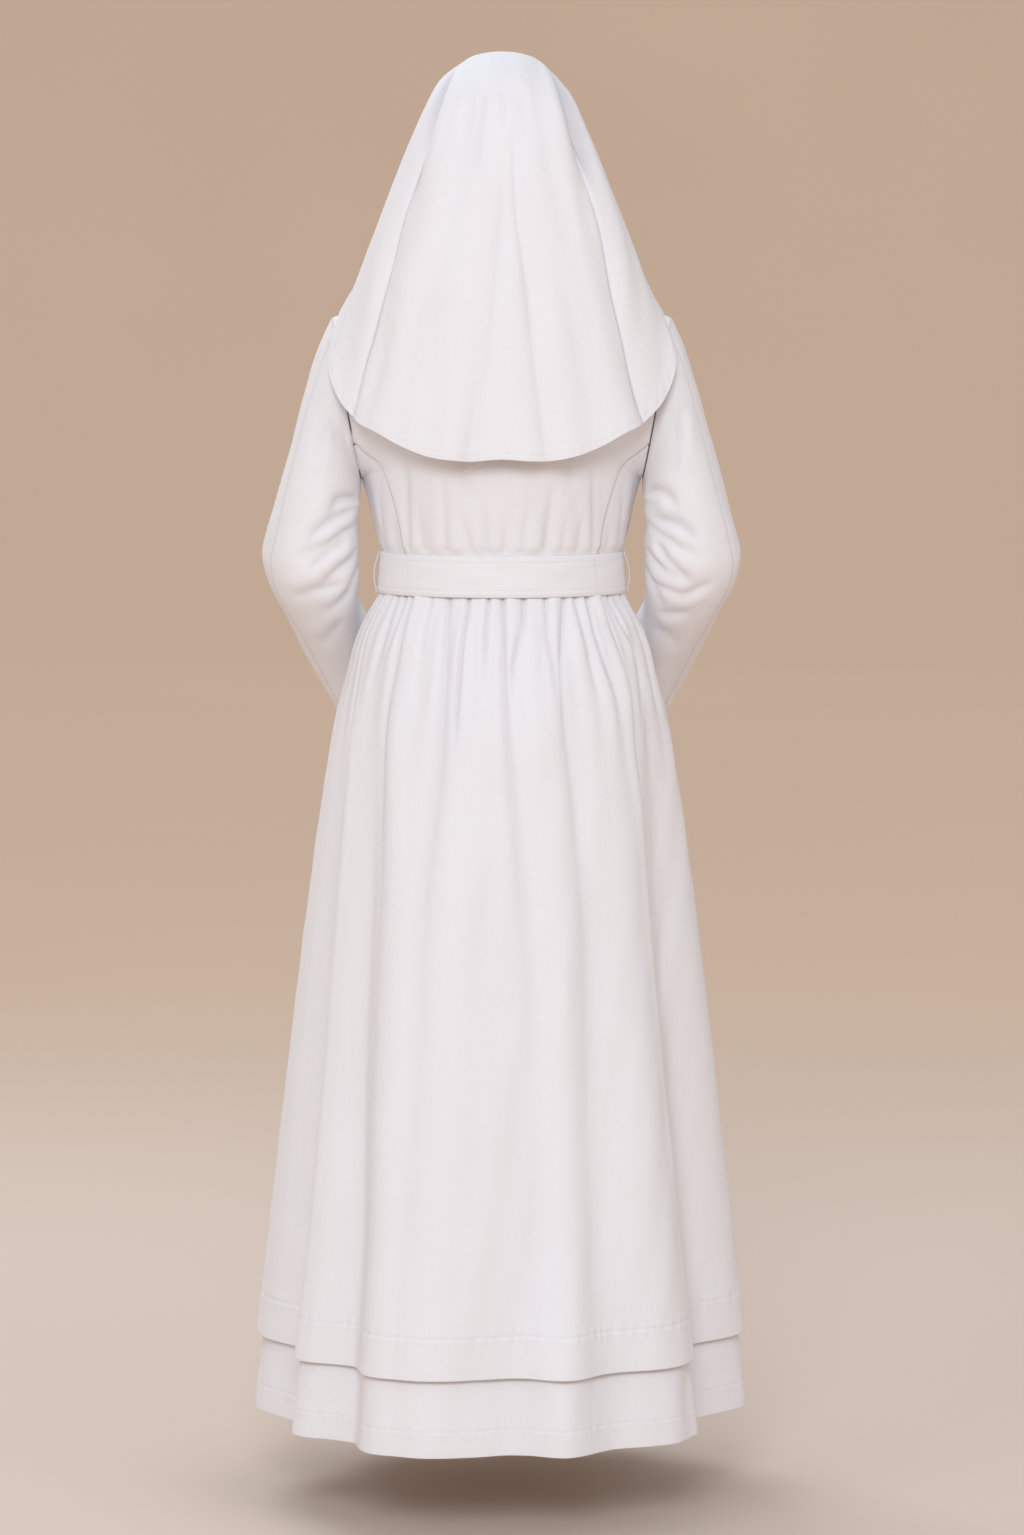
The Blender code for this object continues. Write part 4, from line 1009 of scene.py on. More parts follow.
def veil_relief(across, way, metres):
    spread = 0.8 + 0.7 * way / VEIL_LENGTH
    lift, slide = creases_down(VEIL_CREASES, across, way, metres, spread)
    x = across * VEIL_HALF_WIDTH
    calm = smooth_step((way - 0.05) / 0.15)
    lift = lift + calm * ripples(x, way, 37, VEIL_RIPPLES)
    lift = lift + hem_relief(VEIL_EDGE, across * VEIL_HEM_HALF_WIDTH, VEIL_LENGTH - way)
    lift = lift + hem_relief(VEIL_EDGE, way, (1 - np.abs(across)) * metres)
    return lift, slide


def bodice_relief(creases, seed):
    def relief(share, fraction, metres):
        lift, slide = creases_down(creases, share, fraction, metres, 1.0)
        above = smooth_step((fraction - BODICE_COVERED) / 0.02)
        x = share * BODICE_HALF_WIDTH
        y = fraction * BODICE_HEIGHT
        lift = above * (lift + ripples(x, y, seed, BODICE_RIPPLES))
        return lift, slide

    return relief


def sleeve_relief(creases, seed):
    def relief(angle, station, metres):
        angle = np.asarray(angle % 360, float)
        x = np.radians(angle) * MEAN_ARM_RADIUS
        y = station * MEAN_STATION_LENGTH
        scale = np.array([np.radians(1) * MEAN_ARM_RADIUS, MEAN_STATION_LENGTH])
        away_from_armhole = smooth_step(station / 0.8)
        lift = SLEEVE_CREASE_SHARE * creases_along(creases, x, y, scale)
        lift = lift + ripples(x, y, seed, SLEEVE_RIPPLES)
        lift = lift * away_from_armhole
        lift = lift + hem_relief(CUFF_EDGE, x, (CUFF_STATION - station) * CUFF_STATION_LENGTH)
        return lift, np.zeros(x.shape)

    return relief


def groove_depth(away, groove):
    """How deep a groove is at a distance from its middle."""
    return groove.depth * np.exp(-((away / groove.width) ** 2))


def belt_relief(angle, height, metres):
    edge = np.minimum(height - BELT_BOTTOM, BELT_TOP - height)
    lift = -groove_depth(edge, BELT_EDGE_GROOVE)
    for line in BELT_STITCH_LINES:
        lift = lift - groove_depth(edge - line, BELT_STITCH_GROOVE)
    for join in BELT_JOINS:
        lift = lift - groove_depth(((angle - join + 180) % 360 - 180) * metres, BELT_SEAM_GROOVE)
    middle = np.exp(-(((height - (BELT_BOTTOM + BELT_TOP) / 2) / 0.016) ** 2))
    lift = lift + middle * ripples(np.radians(angle) * BELT_RADIUS, height, 41, BELT_RIPPLES)
    return lift, np.zeros(np.shape(lift))


# Meshes


def settings():
    return bpy.context.scene.nun_habit


def rows_near(first, last, count, lines=(), reach=0.010, gap=0.0014):
    """Evenly spaced rows, with closer ones beside each line that needs fine relief."""
    rows = set(np.round(np.linspace(first, last, count), 6))
    low, high = min(first, last), max(first, last)
    for line in lines:
        for k in range(-int(reach / gap), int(reach / gap) + 1):
            place = line + k * gap
            if low < place < high:
                rows.add(round(place, 6))
    return np.array(sorted(rows))


def grid_normals(grid, closed):
    """Directions square to a grid of points."""
    along_v, along_u = np.gradient(grid, axis=0), np.gradient(grid, axis=1)
    if closed:
        along_u = (np.roll(grid, -1, axis=1) - np.roll(grid, 1, axis=1)) / 2
    return unit(np.cross(along_u, along_v))


def distance_in(grid, edge):
    """Distance of each place of the grid from one of its edges, along the cloth."""
    axis = 1 if edge.endswith("u") else 0
    lengths = np.linalg.norm(np.diff(grid, axis=axis), axis=-1)
    pad = [(0, 0), (0, 0)]
    pad[axis] = (1, 0)
    reached = np.cumsum(np.pad(lengths, pad), axis=axis)
    if edge.startswith("last"):
        total = reached[:, -1:] if axis else reached[-1:]
        reached = total - reached
    return reached


def followed(u, v, tracks):
    """Columns drawn to the sharp creases, so that they follow them and stand close together there."""
    first, last = u.min(), u.max()
    rising = []
    for track in tracks:
        places = sorted(track, key=lambda place: place[1])
        rising.append(through([place[1] for place in places], [place[0] for place in places], v[:, 0]))
    rising.sort(key=lambda centre: centre.mean())
    centres = [np.full(len(v), first)] + rising + [np.full(len(v), last)]
    marks = np.array([centre.mean() for centre in centres])
    moved = np.zeros(u.shape)
    for k in range(len(marks) - 1):
        within = (u >= marks[k]) & (u <= marks[k + 1])
        part = (u - marks[k]) / (marks[k + 1] - marks[k])
        part = part - COLUMN_PULL * np.sin(2 * np.pi * part) / (2 * np.pi)
        spot = centres[k][:, None] + (centres[k + 1] - centres[k])[:, None] * part
        moved = np.where(within, spot, moved)
    return moved


def edged(values):
    """The same rows or columns with two more close to each end, which keep the cloth flat up to its edge."""
    low, high = values[1] - values[0], values[-1] - values[-2]
    close = np.array(EDGE_SHARES)
    return np.concatenate([
        values[:1], values[0] + low * close, values[1:-1], values[-1] - high * close[::-1], values[-1:]])


def shell(name, surface, us, vs, outward, cloth, material, rolled=(), closed=False, grain=(1.0, 1.0),
          tracks=(), shade=None, pulled=(), roll=1.0):
    """Build a thin cloth shell with round edges; rolled edges turn in, as beside a seam.

    The pulled edges have a stitch line at a distance, beside which the cloth is puckered.
    """
    us = np.asarray(us, float) if closed or "first_u" in rolled else edged(np.asarray(us, float))
    vs = edged(np.asarray(vs, float))
    u, v = np.meshgrid(us, vs)
    if tracks:
        u = followed(u, v, tracks)
    outer = surface(u, v)
    outer[..., 2] -= NECK_HEIGHT
    normals = grid_normals(outer, closed) * outward
    painted_seam_darkening = np.zeros(u.shape)
    for edge in rolled:
        near = np.exp(-distance_in(outer, edge) / ROLL_WIDTH)
        outer = outer - normals * (roll * ROLL_DEPTH * near)[..., None]
        # Painted shade along the rolled seam edge: the colour is darkened where the groove is
        painted_seam_darkening = np.maximum(painted_seam_darkening, roll * np.exp(-distance_in(outer, edge) / SEAM_SHADE_WIDTH))
    normals = grid_normals(outer, closed) * outward
    inner = outer - normals * cloth
    worn = np.zeros(u.shape)
    edges = ("first_v", "last_v") + (() if closed else SIDE_EDGES)
    for edge in edges:
        worn = np.maximum(worn, np.exp(-distance_in(outer, edge) / WEAR_WIDTH))
    # Painted shade: how much the hollows of the creases are darkened in the cloth's colour
    painted_crease_shade = shade(u, v) if shade else np.zeros(u.shape)
    puckered = np.zeros(u.shape)
    for edge, stitch in pulled:
        off = (distance_in(outer, edge) - stitch) / PUCKER_REACH
        puckered = np.maximum(puckered, np.exp(-off * off))
    share_u = (u - us[0]) / (us[-1] - us[0]) if not closed else np.arange(len(us)) / len(us) + 0 * v
    share_v = (v - vs[0]) / (vs[-1] - vs[0])
    rows, columns = u.shape
    count = rows * columns
    index = np.arange(count).reshape(rows, columns)
    across = np.concatenate([index, index[:, :1]], axis=1) if closed else index
    a, b = across[:-1, :-1], across[:-1, 1:]
    c, d = across[1:, 1:], across[1:, :-1]
    quads = [np.stack([a, b, c, d], axis=-1).reshape(-1, 4)]
    quads.append(np.stack([a, d, c, b], axis=-1).reshape(-1, 4) + count)
    spots = [outer.reshape(-1, 3), inner.reshape(-1, 3)]
    marks = {"edge_wear": worn, "seam_shade": painted_seam_darkening, "fold_shade": painted_crease_shade, "stitch_pull": puckered}
    marked = {title: [values.ravel()] * 2 for title, values in marks.items()}
    shares = [np.stack([share_u, share_v], -1).reshape(-1, 2)] * 2
    total = 2 * count
    for edge in edges:
        line = {
            "first_v": across[0], "last_v": across[-1][::-1],
            "first_u": across[::-1, 0], "last_u": across[:, -1],
        }[edge]
        ring = line[:-1] if closed else line
        next_in = {"first_v": columns, "last_v": -columns, "first_u": 1, "last_u": -1}[edge]
        flat_outer = outer.reshape(-1, 3)
        flat_inner = inner.reshape(-1, 3)
        out_dir = unit(flat_outer[ring] - flat_outer[ring + next_in])
        bulge = SEAM_GAP / 2 if edge in rolled else cloth * 0.45
        middle = (flat_outer[ring] + flat_inner[ring]) / 2 + out_dir * bulge
        spots.append(middle)
        marked["edge_wear"].append(np.ones(len(ring)))
        marked["seam_shade"].append(np.full(len(ring), roll if edge in rolled else 0.0))
        for title in ("fold_shade", "stitch_pull"):
            marked[title].append(marks[title].ravel()[ring])
        shares.append(shares[0][ring])
        mid = total + np.arange(len(ring))
        if closed:
            mid = np.append(mid, mid[0])
        total += len(ring)
        quads.append(np.stack([line[1:], line[:-1], mid[:-1], mid[1:]], axis=-1))
        quads.append(np.stack([mid[1:], mid[:-1], line[:-1] + count, line[1:] + count], axis=-1))
    vertices = np.concatenate(spots)
    faces = np.concatenate(quads)
    if outward < 0:
        faces = faces[:, ::-1]
    piece = mesh_piece(name, vertices, faces, material)
    mesh = piece.data
    for title, values in marked.items():
        mark = mesh.attributes.new(title, "FLOAT", "POINT")
        mark.data.foreach_set("value", np.concatenate(values).astype(np.float32))
    loops = np.zeros(len(mesh.loops), np.int32)
    mesh.loops.foreach_get("vertex_index", loops)
    flat = np.concatenate(shares)[loops] * np.array(grain)
    if closed:
        first = flat[:, 0].reshape(-1, 4)
        wraps = first.max(axis=1, keepdims=True) - first > grain[0] / 2
        flat[:, 0] = (first + wraps * (first < grain[0] / 2) * grain[0]).ravel()
    layer = mesh.uv_layers.new(name="grain")
    layer.data.foreach_set("uv", flat.astype(np.float32).ravel())
    return piece


def mesh_piece(name, vertices, faces, material):
    mesh = bpy.data.meshes.new(name)
    mesh.vertices.add(len(vertices))
    mesh.vertices.foreach_set("co", vertices.astype(np.float32).ravel())
    mesh.loops.add(faces.size)
    mesh.loops.foreach_set("vertex_index", faces.astype(np.int32).ravel())
    mesh.polygons.add(len(faces))
    sides = faces.shape[1]
    mesh.polygons.foreach_set("loop_start", np.arange(0, faces.size, sides, dtype=np.int32))
    mesh.update(calc_edges=True)
    mesh.validate()
    mesh.shade_smooth()
    mesh.materials.append(material)
    piece = bpy.data.objects.new(name, mesh)
    bpy.context.scene.collection.objects.link(piece)
    return piece


STITCH_SIDES = 6
STITCH_LENGTH = 0.0020
STITCH_THICKNESS = 0.00032
# How far a stitch stands out, in thicknesses, and where its two rings lie, in lengths
STITCH_LIFT = 0.35
STITCH_RINGS = (-0.32, 0.32)
# A row of stitches is measured in this many steps, and begins and ends this far from its ends
PATH_STEPS = 1500
ROW_END = 0.0015


def stitch_row(name, surface, rows, outward, material):
    """Small raised stitches, evenly apart, along rows given as (first u, v) to (last u, v) places."""
    spots = []
    faces = []
    for us, vs in rows:
        u = np.linspace(us[0], us[-1], PATH_STEPS)
        v = np.interp(np.linspace(0, 1, PATH_STEPS), np.linspace(0, 1, len(vs)), vs)
        path = surface(u[None], v[None])[0]
        reached = np.append(0, np.cumsum(np.linalg.norm(np.diff(path, axis=0), axis=1)))
        wanted = np.arange(ROW_END, reached[-1] - ROW_END, settings().stitch_spacing)
        at_u = np.interp(wanted, reached, u)
        at_v = np.interp(wanted, reached, v)
        turn_u = 2e-4 * (us[-1] - us[0]) + 1e-6
        place = surface(at_u[None], at_v[None])[0]
        ahead, behind = (
            np.stack([np.interp(wanted + step, reached, path[:, k]) for k in range(3)], -1)
            for step in (1e-3, -1e-3))
        onward = unit(ahead - behind)
        out = path_normals(surface, at_u, at_v, turn_u) * outward
        aside = unit(np.cross(onward, out))
        place = place + out * STITCH_THICKNESS * STITCH_LIFT
        place[:, 2] -= NECK_HEIGHT
        start = sum(len(s) for s in spots)
        block = [place - onward * STITCH_LENGTH / 2]
        for shift in STITCH_RINGS:
            for k in range(STITCH_SIDES):
                angle = 2 * np.pi * k / STITCH_SIDES
                ring = (out * np.sin(angle) + aside * np.cos(angle)) * STITCH_THICKNESS / 2
                block.append(place + onward * STITCH_LENGTH * shift + ring)
        block.append(place + onward * STITCH_LENGTH / 2)
        each = np.stack(block, axis=1)
        size = each.shape[1]
        spots.append(each.reshape(-1, 3))
        base = start + np.arange(len(wanted))[:, None] * size
        for k in range(STITCH_SIDES):
            n = (k + 1) % STITCH_SIDES
            faces.append(base + np.array([[0, 1 + n, 1 + k]]))
            faces.append(base + np.array([[1 + k, 1 + n, 1 + STITCH_SIDES + n]]))
            faces.append(base + np.array([[1 + k, 1 + STITCH_SIDES + n, 1 + STITCH_SIDES + k]]))
            faces.append(base + np.array([[1 + STITCH_SIDES + k, 1 + STITCH_SIDES + n, size - 1]]))
    return mesh_piece(name, np.concatenate(spots), np.concatenate(faces), material)


def path_normals(surface, u, v, step):
    """Outward directions of a surface at single places."""
    step_v = 2e-4
    one = surface((u + step)[None], v[None])[0] - surface((u - step)[None], v[None])[0]
    two = surface(u[None], (v + step_v)[None])[0] - surface(u[None], (v - step_v)[None])[0]
    return unit(np.cross(one, two))


# Materials


class Value:
    """A shader value that takes part in sums; each operator adds one Math node."""

    def __init__(self, tree, socket):
        self.tree = tree
        self.socket = socket

    def sum_with(self, operation, first, second=None):
        made = self.tree.nodes.new("ShaderNodeMath")
        made.operation = operation
        for place, value in enumerate((first, second)):
            if isinstance(value, Value):
                self.tree.links.new(value.socket, made.inputs[place])
            elif value is not None:
                made.inputs[place].default_value = value
        return Value(self.tree, made.outputs[0])

    def __add__(self, other):
        return self.sum_with("ADD", self, other)

    __radd__ = __add__

    def __sub__(self, other):
        return self.sum_with("SUBTRACT", self, other)

    def __rsub__(self, other):
        return self.sum_with("SUBTRACT", other, self)

    def __mul__(self, other):
        return self.sum_with("MULTIPLY", self, other)

    __rmul__ = __mul__

    def sine(self):
        return self.sum_with("SINE", self)

    def size(self):
        return self.sum_with("ABSOLUTE", self)

    def larger(self, other):
        return self.sum_with("MAXIMUM", self, other)


class Finish:
    """A material under work: adds nodes and links them."""

    def __init__(self, name):
        self.material = bpy.data.materials.new(name)
        self.material.use_nodes = True
        self.tree = self.material.node_tree
        self.shader = self.tree.nodes["Principled BSDF"]

    def node(self, kind, options, sockets):
        made = self.tree.nodes.new(kind)
        for option, value in options.items():
            setattr(made, option, value)
        for key, value in sockets.items():
            self.feed(made.inputs[key], value)
        return made

    def feed(self, socket, value):
        if isinstance(value, Value):
            self.tree.links.new(value.socket, socket)
        elif isinstance(value, bpy.types.NodeSocket):
            self.tree.links.new(value, socket)
        else:
            socket.default_value = value

    def value(self, node, output=0):
        return Value(self.tree, node.outputs[output])

    def attribute(self, name):
        return self.value(self.node("ShaderNodeAttribute", {"attribute_name": name}, {}), "Fac")

    def noise(self, dimensions, vector, scale, detail, **more):
        sockets = {"Vector": vector, "Scale": scale, "Detail": detail, **more}
        return self.value(self.node("ShaderNodeTexNoise", {"noise_dimensions": dimensions}, sockets), "Fac")

    def stretched(self, vector, scale):
        return self.node("ShaderNodeMapping", {}, {"Vector": vector, "Scale": scale}).outputs[0]

    def mix(self, factor, first, second):
        sockets = {"Factor": factor, "A": first, "B": second}
        return self.node("ShaderNodeMix", {"data_type": "RGBA"}, sockets).outputs["Result"]


def toned(colour, shares):
    """A colour with each of its three parts taken to a share."""
    return tuple(part * share for part, share in zip(colour[:3], shares)) + (1.0,)


def woven_cloth(name, colour):
    """Matte plain weave: crossing threads, uneven slubs, faint changes of shade and slightly worn edges.

    Seams and the hollows of creases are darkened with painted shade, and the cloth is puckered beside stitch
    lines.
    """
    finish = Finish(name)
    grain = finish.node("ShaderNodeUVMap", {"uv_map": "grain"}, {}).outputs["UV"]
    split = finish.node("ShaderNodeSeparateXYZ", {}, {"Vector": grain})
    turn = np.pi / settings().weave_pitch
    over = (finish.value(split, "X") * turn).sine() * (finish.value(split, "Y") * turn).sine()
    threads = over * 0.5 + over.size() * 0.35
    weft_slub = finish.noise("2D", finish.stretched(grain, (60, 900, 1)), 1.0, 1.0)
    warp_slub = finish.noise("2D", finish.stretched(grain, (900, 60, 1)), 1.0, 1.0)
    crumple = finish.noise("2D", grain, 55.0, 3.0, Roughness=0.5)
    tone = finish.noise("2D", grain, 9.0, 2.0)
    worn = finish.attribute("edge_wear")
    pucker = finish.noise("2D", finish.stretched(grain, (150, 14, 1)), 1.0, 1.0)
    gathered = pucker * finish.attribute("stitch_pull")
    height = threads + weft_slub * 0.8 + warp_slub * 0.8
    thread_bump = finish.node("ShaderNodeBump", {}, {"Height": height, "Strength": 0.30, "Distance": 0.00025})
    soft_bump = finish.node("ShaderNodeBump", {}, {
        "Height": crumple + gathered * 2.2, "Strength": 0.30, "Distance": 0.0016,
        "Normal": thread_bump.outputs[0]})
    finish.feed(finish.shader.inputs["Normal"], soft_bump.outputs[0])
    change = tone * 0.5 + (weft_slub + warp_slub) * 0.25 - threads * 0.12 + worn * 0.18
    cloth = finish.mix(change, colour, toned(colour, (0.95, 0.94, 0.94)))
    # Painted shade: seams are darkened in the base colour, standing for the shade in their grooves
    seamed = finish.mix(finish.attribute("seam_shade") * 0.8, cloth, toned(colour, (0.52, 0.50, 0.49)))
    # Painted shade: the hollows of creases are darkened in the base colour, standing for the shade that falls
    # in them
    shaded = finish.mix(finish.attribute("fold_shade") * 0.42, seamed, toned(colour, (0.58, 0.56, 0.58)))
    finish.feed(finish.shader.inputs["Base Color"], shaded)
    finish.feed(finish.shader.inputs["Roughness"], 0.80 + weft_slub * 0.10 - worn * 0.06)
    finish.shader.inputs["Specular IOR Level"].default_value = 0.35
    finish.shader.inputs["Sheen Weight"].default_value = 0.10
    finish.shader.inputs["Sheen Roughness"].default_value = 0.5
    finish.shader.inputs["Sheen Tint"].default_value = (1, 0.98, 0.97, 1)
    return finish.material


def sewing_thread(colour):
    """White thread with the faint twist of its strands."""
    finish = Finish("sewing_thread")
    place = finish.node("ShaderNodeTexCoord", {}, {}).outputs["Object"]
    twist = finish.noise("3D", place, 1500.0, 1.0)
    bump = finish.node("ShaderNodeBump", {}, {"Height": twist, "Strength": 0.3, "Distance": 0.0001})
    finish.feed(finish.shader.inputs["Normal"], bump.outputs[0])
    finish.feed(finish.shader.inputs["Base Color"], finish.mix(twist, colour, toned(colour, (0.9, 0.9, 0.9))))
    finish.feed(finish.shader.inputs["Roughness"], 0.5 + twist * 0.2)
    return finish.material


def finish_of(name):
    """A named cloth or thread, made the first time it is asked for."""
    known = bpy.data.materials.get(name)
    if known:
        return known
    colour = tuple(settings().cloth_colour) + (1.0,)
    if name == "sewing_thread":
        return sewing_thread(colour)
    return woven_cloth(name, colour)


# Pieces


def placed(piece, slot_name, *nodes):
    """The piece rides on the frame and stands for its nodes; its slot name is not used."""
    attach(piece, "root")
    if nodes:
        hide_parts(*nodes)
    return piece


def build_veil():
    cloth = finish_of("veil_weave")
    surface, shade = dressed(veil_point, 1, veil_relief, (-1, 0), (1, VEIL_LENGTH), 0.011, 1.0)
    across = rows_near(-1, 1, 230, (), 0, 1)
    line = VEIL_LENGTH - VEIL_EDGE.stitch
    ways = rows_near(0, VEIL_LENGTH, 130, (line,), 0.006, 0.0012)
    piece = shell(
        "veil_shell", surface, across, ways, 1, VEIL_THICKNESS, cloth, grain=(0.95, VEIL_LENGTH),
        tracks=[crease.track for crease in VEIL_CREASES if crease.overlap], shade=shade,
        pulled=(("last_v", VEIL_EDGE.stitch),))
    placed(piece, "veil_cloth", "veil")
    rows = [((-0.97, 0.97), (line, line))]
    stitches = stitch_row("veil_hem_stitches", surface, rows, 1, finish_of("sewing_thread"))
    placed(stitches, "veil_cloth")


def build_bodice():
    cloth = finish_of("dress_weave")
    princess_end = PRINCESS_SEAM[-1].fraction + SAME_PLACE
    back_form = bodice_point(BACK_HALF, BACK_TUCKS)
    front_form = bodice_point(FRONT_HALF, FRONT_TUCKS)
    back, back_shade = dressed(back_form, -1, bodice_relief(BACK_CREASES, 53), (-1, 0), (1, 1))
    front_creases = tuple(crease._replace(depth=crease.depth * 0.8) for crease in BACK_CREASES)
    front, front_shade = dressed(front_form, 1, bodice_relief(front_creases, 59), (-1, 0), (1, 1))

    def seam_share(fraction):
        return np.where(fraction > princess_end, 1.0, read(PRINCESS_SEAM, "share", fraction))

    def centre_back(across, fraction):
        return back(across * seam_share(fraction), fraction)

    def centre_shade(across, fraction):
        return back_shade(across * seam_share(fraction), fraction)

    rows = rows_near(0, 1, 105, (), 0, 1)
    rows = np.array(sorted(set(np.round(np.append(rows, (UNDERARM_FRACTION, princess_end)), 6))))
    seam_rows = rows[rows <= princess_end]
    fine = fine_edges(-1, 1, 130, 0.014)
    pieces = {}
    pieces["bodice_back_centre"] = shell(
        "bodice_back_centre_shell", centre_back, fine, rows, -1, DRESS_THICKNESS, cloth,
        rolled=SIDE_EDGES, grain=(0.42, 0.42), shade=centre_shade)
    for side, name in ((1, "left"), (-1, "right")):

        def side_back(part, fraction, side=side):
            share = seam_share(fraction)
            return back(side * (share + (1 - share) * part), fraction)

        node = "bodice_side_back_" + name
        pieces[node] = shell(
            node + "_shell", side_back, fine_edges(0, 1, 26, 0.05), seam_rows, -side, DRESS_THICKNESS,
            cloth, rolled=SIDE_EDGES, grain=(0.10, 0.20))
    pieces["bodice_front"] = shell(
        "bodice_front_shell", front, fine_edges(-1, 1, 110, 0.014), rows, 1, DRESS_THICKNESS, cloth,
        rolled=SIDE_EDGES, grain=(0.44, 0.42), shade=front_shade)
    for node, piece in pieces.items():
        placed(piece, "dress_cloth", node)


def fine_edges(first, last, count, gap):
    """Evenly spaced columns with a few close ones beside both ends, for the rolled seam edges."""
    even = np.linspace(first, last, count)
    close = np.array([0.08, 0.2, 0.36, 0.56, 0.8]) * gap
    return np.array(sorted(set(np.round(np.concatenate([even, first + close, last - close]), 6))))


def build_sleeves():
    cloth = finish_of("dress_weave")
    line = CUFF_STATION - CUFF_EDGE.stitch / CUFF_STATION_LENGTH
    stations = rows_near(0, CUFF_STATION, 120, (line,), 0.25, 0.05)
    for side, name, creases in ((1, "left", LEFT_SLEEVE_CREASES), (-1, "right", RIGHT_SLEEVE_CREASES)):
        for part, start, area in (("under", HIND_ARM_SEAM, 0.075), ("top", FORE_ARM_SEAM, 0.085)):
            surface, shade = dressed(
                sleeve_point(side), -side, sleeve_relief(creases, 61 + side), (start, 0),
                (start + 180, CUFF_STATION))
            columns = fine_edges(start, start + 180, 66, 4)
            node = "sleeve_" + part + "_" + name
            piece = shell(
                node + "_shell", surface, columns, stations, -side, DRESS_THICKNESS, cloth,
                rolled=SIDE_EDGES + ("first_v",), grain=(0.16, 0.45), shade=shade,
                pulled=(("last_v", CUFF_EDGE.stitch),), roll=0.45)
            placed(piece, "dress_cloth", node)
            rows = [((start + 1, start + 179), (line, line))]
            stitches = stitch_row(node + "_cuff_stitches", surface, rows, -side, finish_of("sewing_thread"))
            placed(stitches, "dress_cloth")


def belt_columns():
    """Columns round the belt, closer together beside its joins."""
    columns = set(np.arange(0, 360, 1.5))
    for join in BELT_JOINS:
        columns.update(join + step for step in (-1.2, -0.8, -0.5, -0.25, 0.25, 0.5, 0.8, 1.2))
        columns.add(float(join))
    return np.array(sorted(columns))


def build_belt():
    cloth = finish_of("belt_weave")
    surface = dressed(belt_point, 1, belt_relief, (0, BELT_BOTTOM), (360, BELT_TOP))[0]
    lines = [BELT_BOTTOM + line for line in BELT_STITCH_LINES]
    lines += [BELT_TOP - line for line in BELT_STITCH_LINES]
    heights = rows_near(BELT_BOTTOM, BELT_TOP, 14, lines + [BELT_BOTTOM, BELT_TOP], 0.0014, 0.0007)
    piece = shell(
        "belt_shell", surface, belt_columns(), heights, 1, BELT_THICKNESS, cloth, closed=True,
        grain=(0.84, 0.046))
    placed(piece, "belt_cloth", "belt")
    rows = [((0, 360), (line, line)) for line in lines]
    stitches = stitch_row("belt_stitches", surface, rows, 1, finish_of("sewing_thread"))
    placed(stitches, "belt_cloth")
    for side, name in ((1, "left"), (-1, "right")):
        form = loop_point(side)
        heights = np.linspace(LOOP_POINTS[0].height, LOOP_POINTS[-1].height, 40)
        columns = np.linspace(-LOOP_WIDTH / 2, LOOP_WIDTH / 2, 11)

        def loop_surface(across, height, form=form, side=side):
            near_edge = np.exp(-(((LOOP_WIDTH / 2 - np.abs(across)) / 0.0011) ** 2))
            place = form(across, height)
            place[..., 0] -= side * 0.0004 * near_edge
            return place

        loop = shell(
            "belt_loop_" + name + "_shell", loop_surface, columns, heights, side, DRESS_THICKNESS, cloth,
            grain=(LOOP_WIDTH, 0.05))
        placed(loop, "belt_cloth", "belt_loop_" + name)


# The two skirts; length is the grain's, along the cloth
Skirt = namedtuple(
    "Skirt", "name surface weave slot hem foot thickness back_columns front_columns length flat area"
)
OVERSKIRT = Skirt(
    "overskirt", overskirt_surface, "dress_weave", "dress_cloth", OVERSKIRT_EDGE, OVERSKIRT_HEM,
    DRESS_THICKNESS, 360, 250, 0.90, (1.15, 0.97), 0.74)
UNDERSKIRT = Skirt(
    "underskirt", underskirt_surface, "underskirt_weave", "underskirt_cloth", UNDERSKIRT_EDGE, UNDERSKIRT_HEM,
    UNDERSKIRT_THICKNESS, 220, 180, 1.0, (1.12, 1.04), 0.79)


def build_skirt(skirt, heights):
    """Back and front of a skirt, each with the stitches of its hem."""
    cloth = finish_of(skirt.weave)
    line = skirt.foot + skirt.hem.stitch
    for start, half, count, long_ones in (
        (0, "back", skirt.back_columns, LONG_CREASES),
        (180, "front", skirt.front_columns, mirrored(LONG_CREASES)),
    ):
        node = skirt.name + "_" + half
        columns = fine_edges(start, start + 180, count, 1.2)
        piece = shell(
            node + "_shell", skirt.surface, columns, heights, 1, skirt.thickness, cloth,
            rolled=SIDE_EDGES, grain=(skirt.flat[0], skirt.length), shade=skirt_shade,
            tracks=[crease.track for crease in long_ones], pulled=(("first_v", skirt.hem.stitch),))
        placed(piece, skirt.slot, node)
        rows = [((start + 0.3, start + 179.7), (line, line))]
        stitches = stitch_row(node + "_hem_stitches", skirt.surface, rows, 1, finish_of("sewing_thread"))
        placed(stitches, skirt.slot)


def build_overskirt():
    line = OVERSKIRT_HEM + OVERSKIRT_EDGE.stitch
    heights = rows_near(OVERSKIRT_HEM, SKIRT_TOP, 76, (line,), 0.010, 0.0022)
    heights = np.append(heights, np.linspace(1.0, SKIRT_TOP, 14))
    build_skirt(OVERSKIRT, np.array(sorted(set(np.round(heights, 6)))))


def build_underskirt():
    line = UNDERSKIRT_HEM + UNDERSKIRT_EDGE.stitch
    covered = OVERSKIRT_HEM + 0.02
    low = rows_near(UNDERSKIRT_HEM, covered, 26, (line,), 0.009, 0.0018)
    build_skirt(UNDERSKIRT, np.append(low, np.linspace(covered, SKIRT_TOP, 34)[1:]))


# Stage

CAMERA_PLACE = (-0.012, 6.0, 0.05)
CAMERA_PITCH_DOWN = 5.76
CAMERA_LENS = 120.27
CAMERA_SENSOR = 36.0

# Studio: a round floor that curves up into a wall, far enough out for views from every side
STUDIO_RADIUS = 14.0
STUDIO_BEND = 2.0
STUDIO_HEIGHT = 6.0
STUDIO_GRID = 97
# Shares of the way from the middle to the wall's top at which the bend begins and ends
BEND_START = 0.62
BEND_END = 0.80
# Between these distances from the middle the floor turns into the evenly lit backdrop
BACKDROP_START = 1.4
BACKDROP_FULL = 4.6

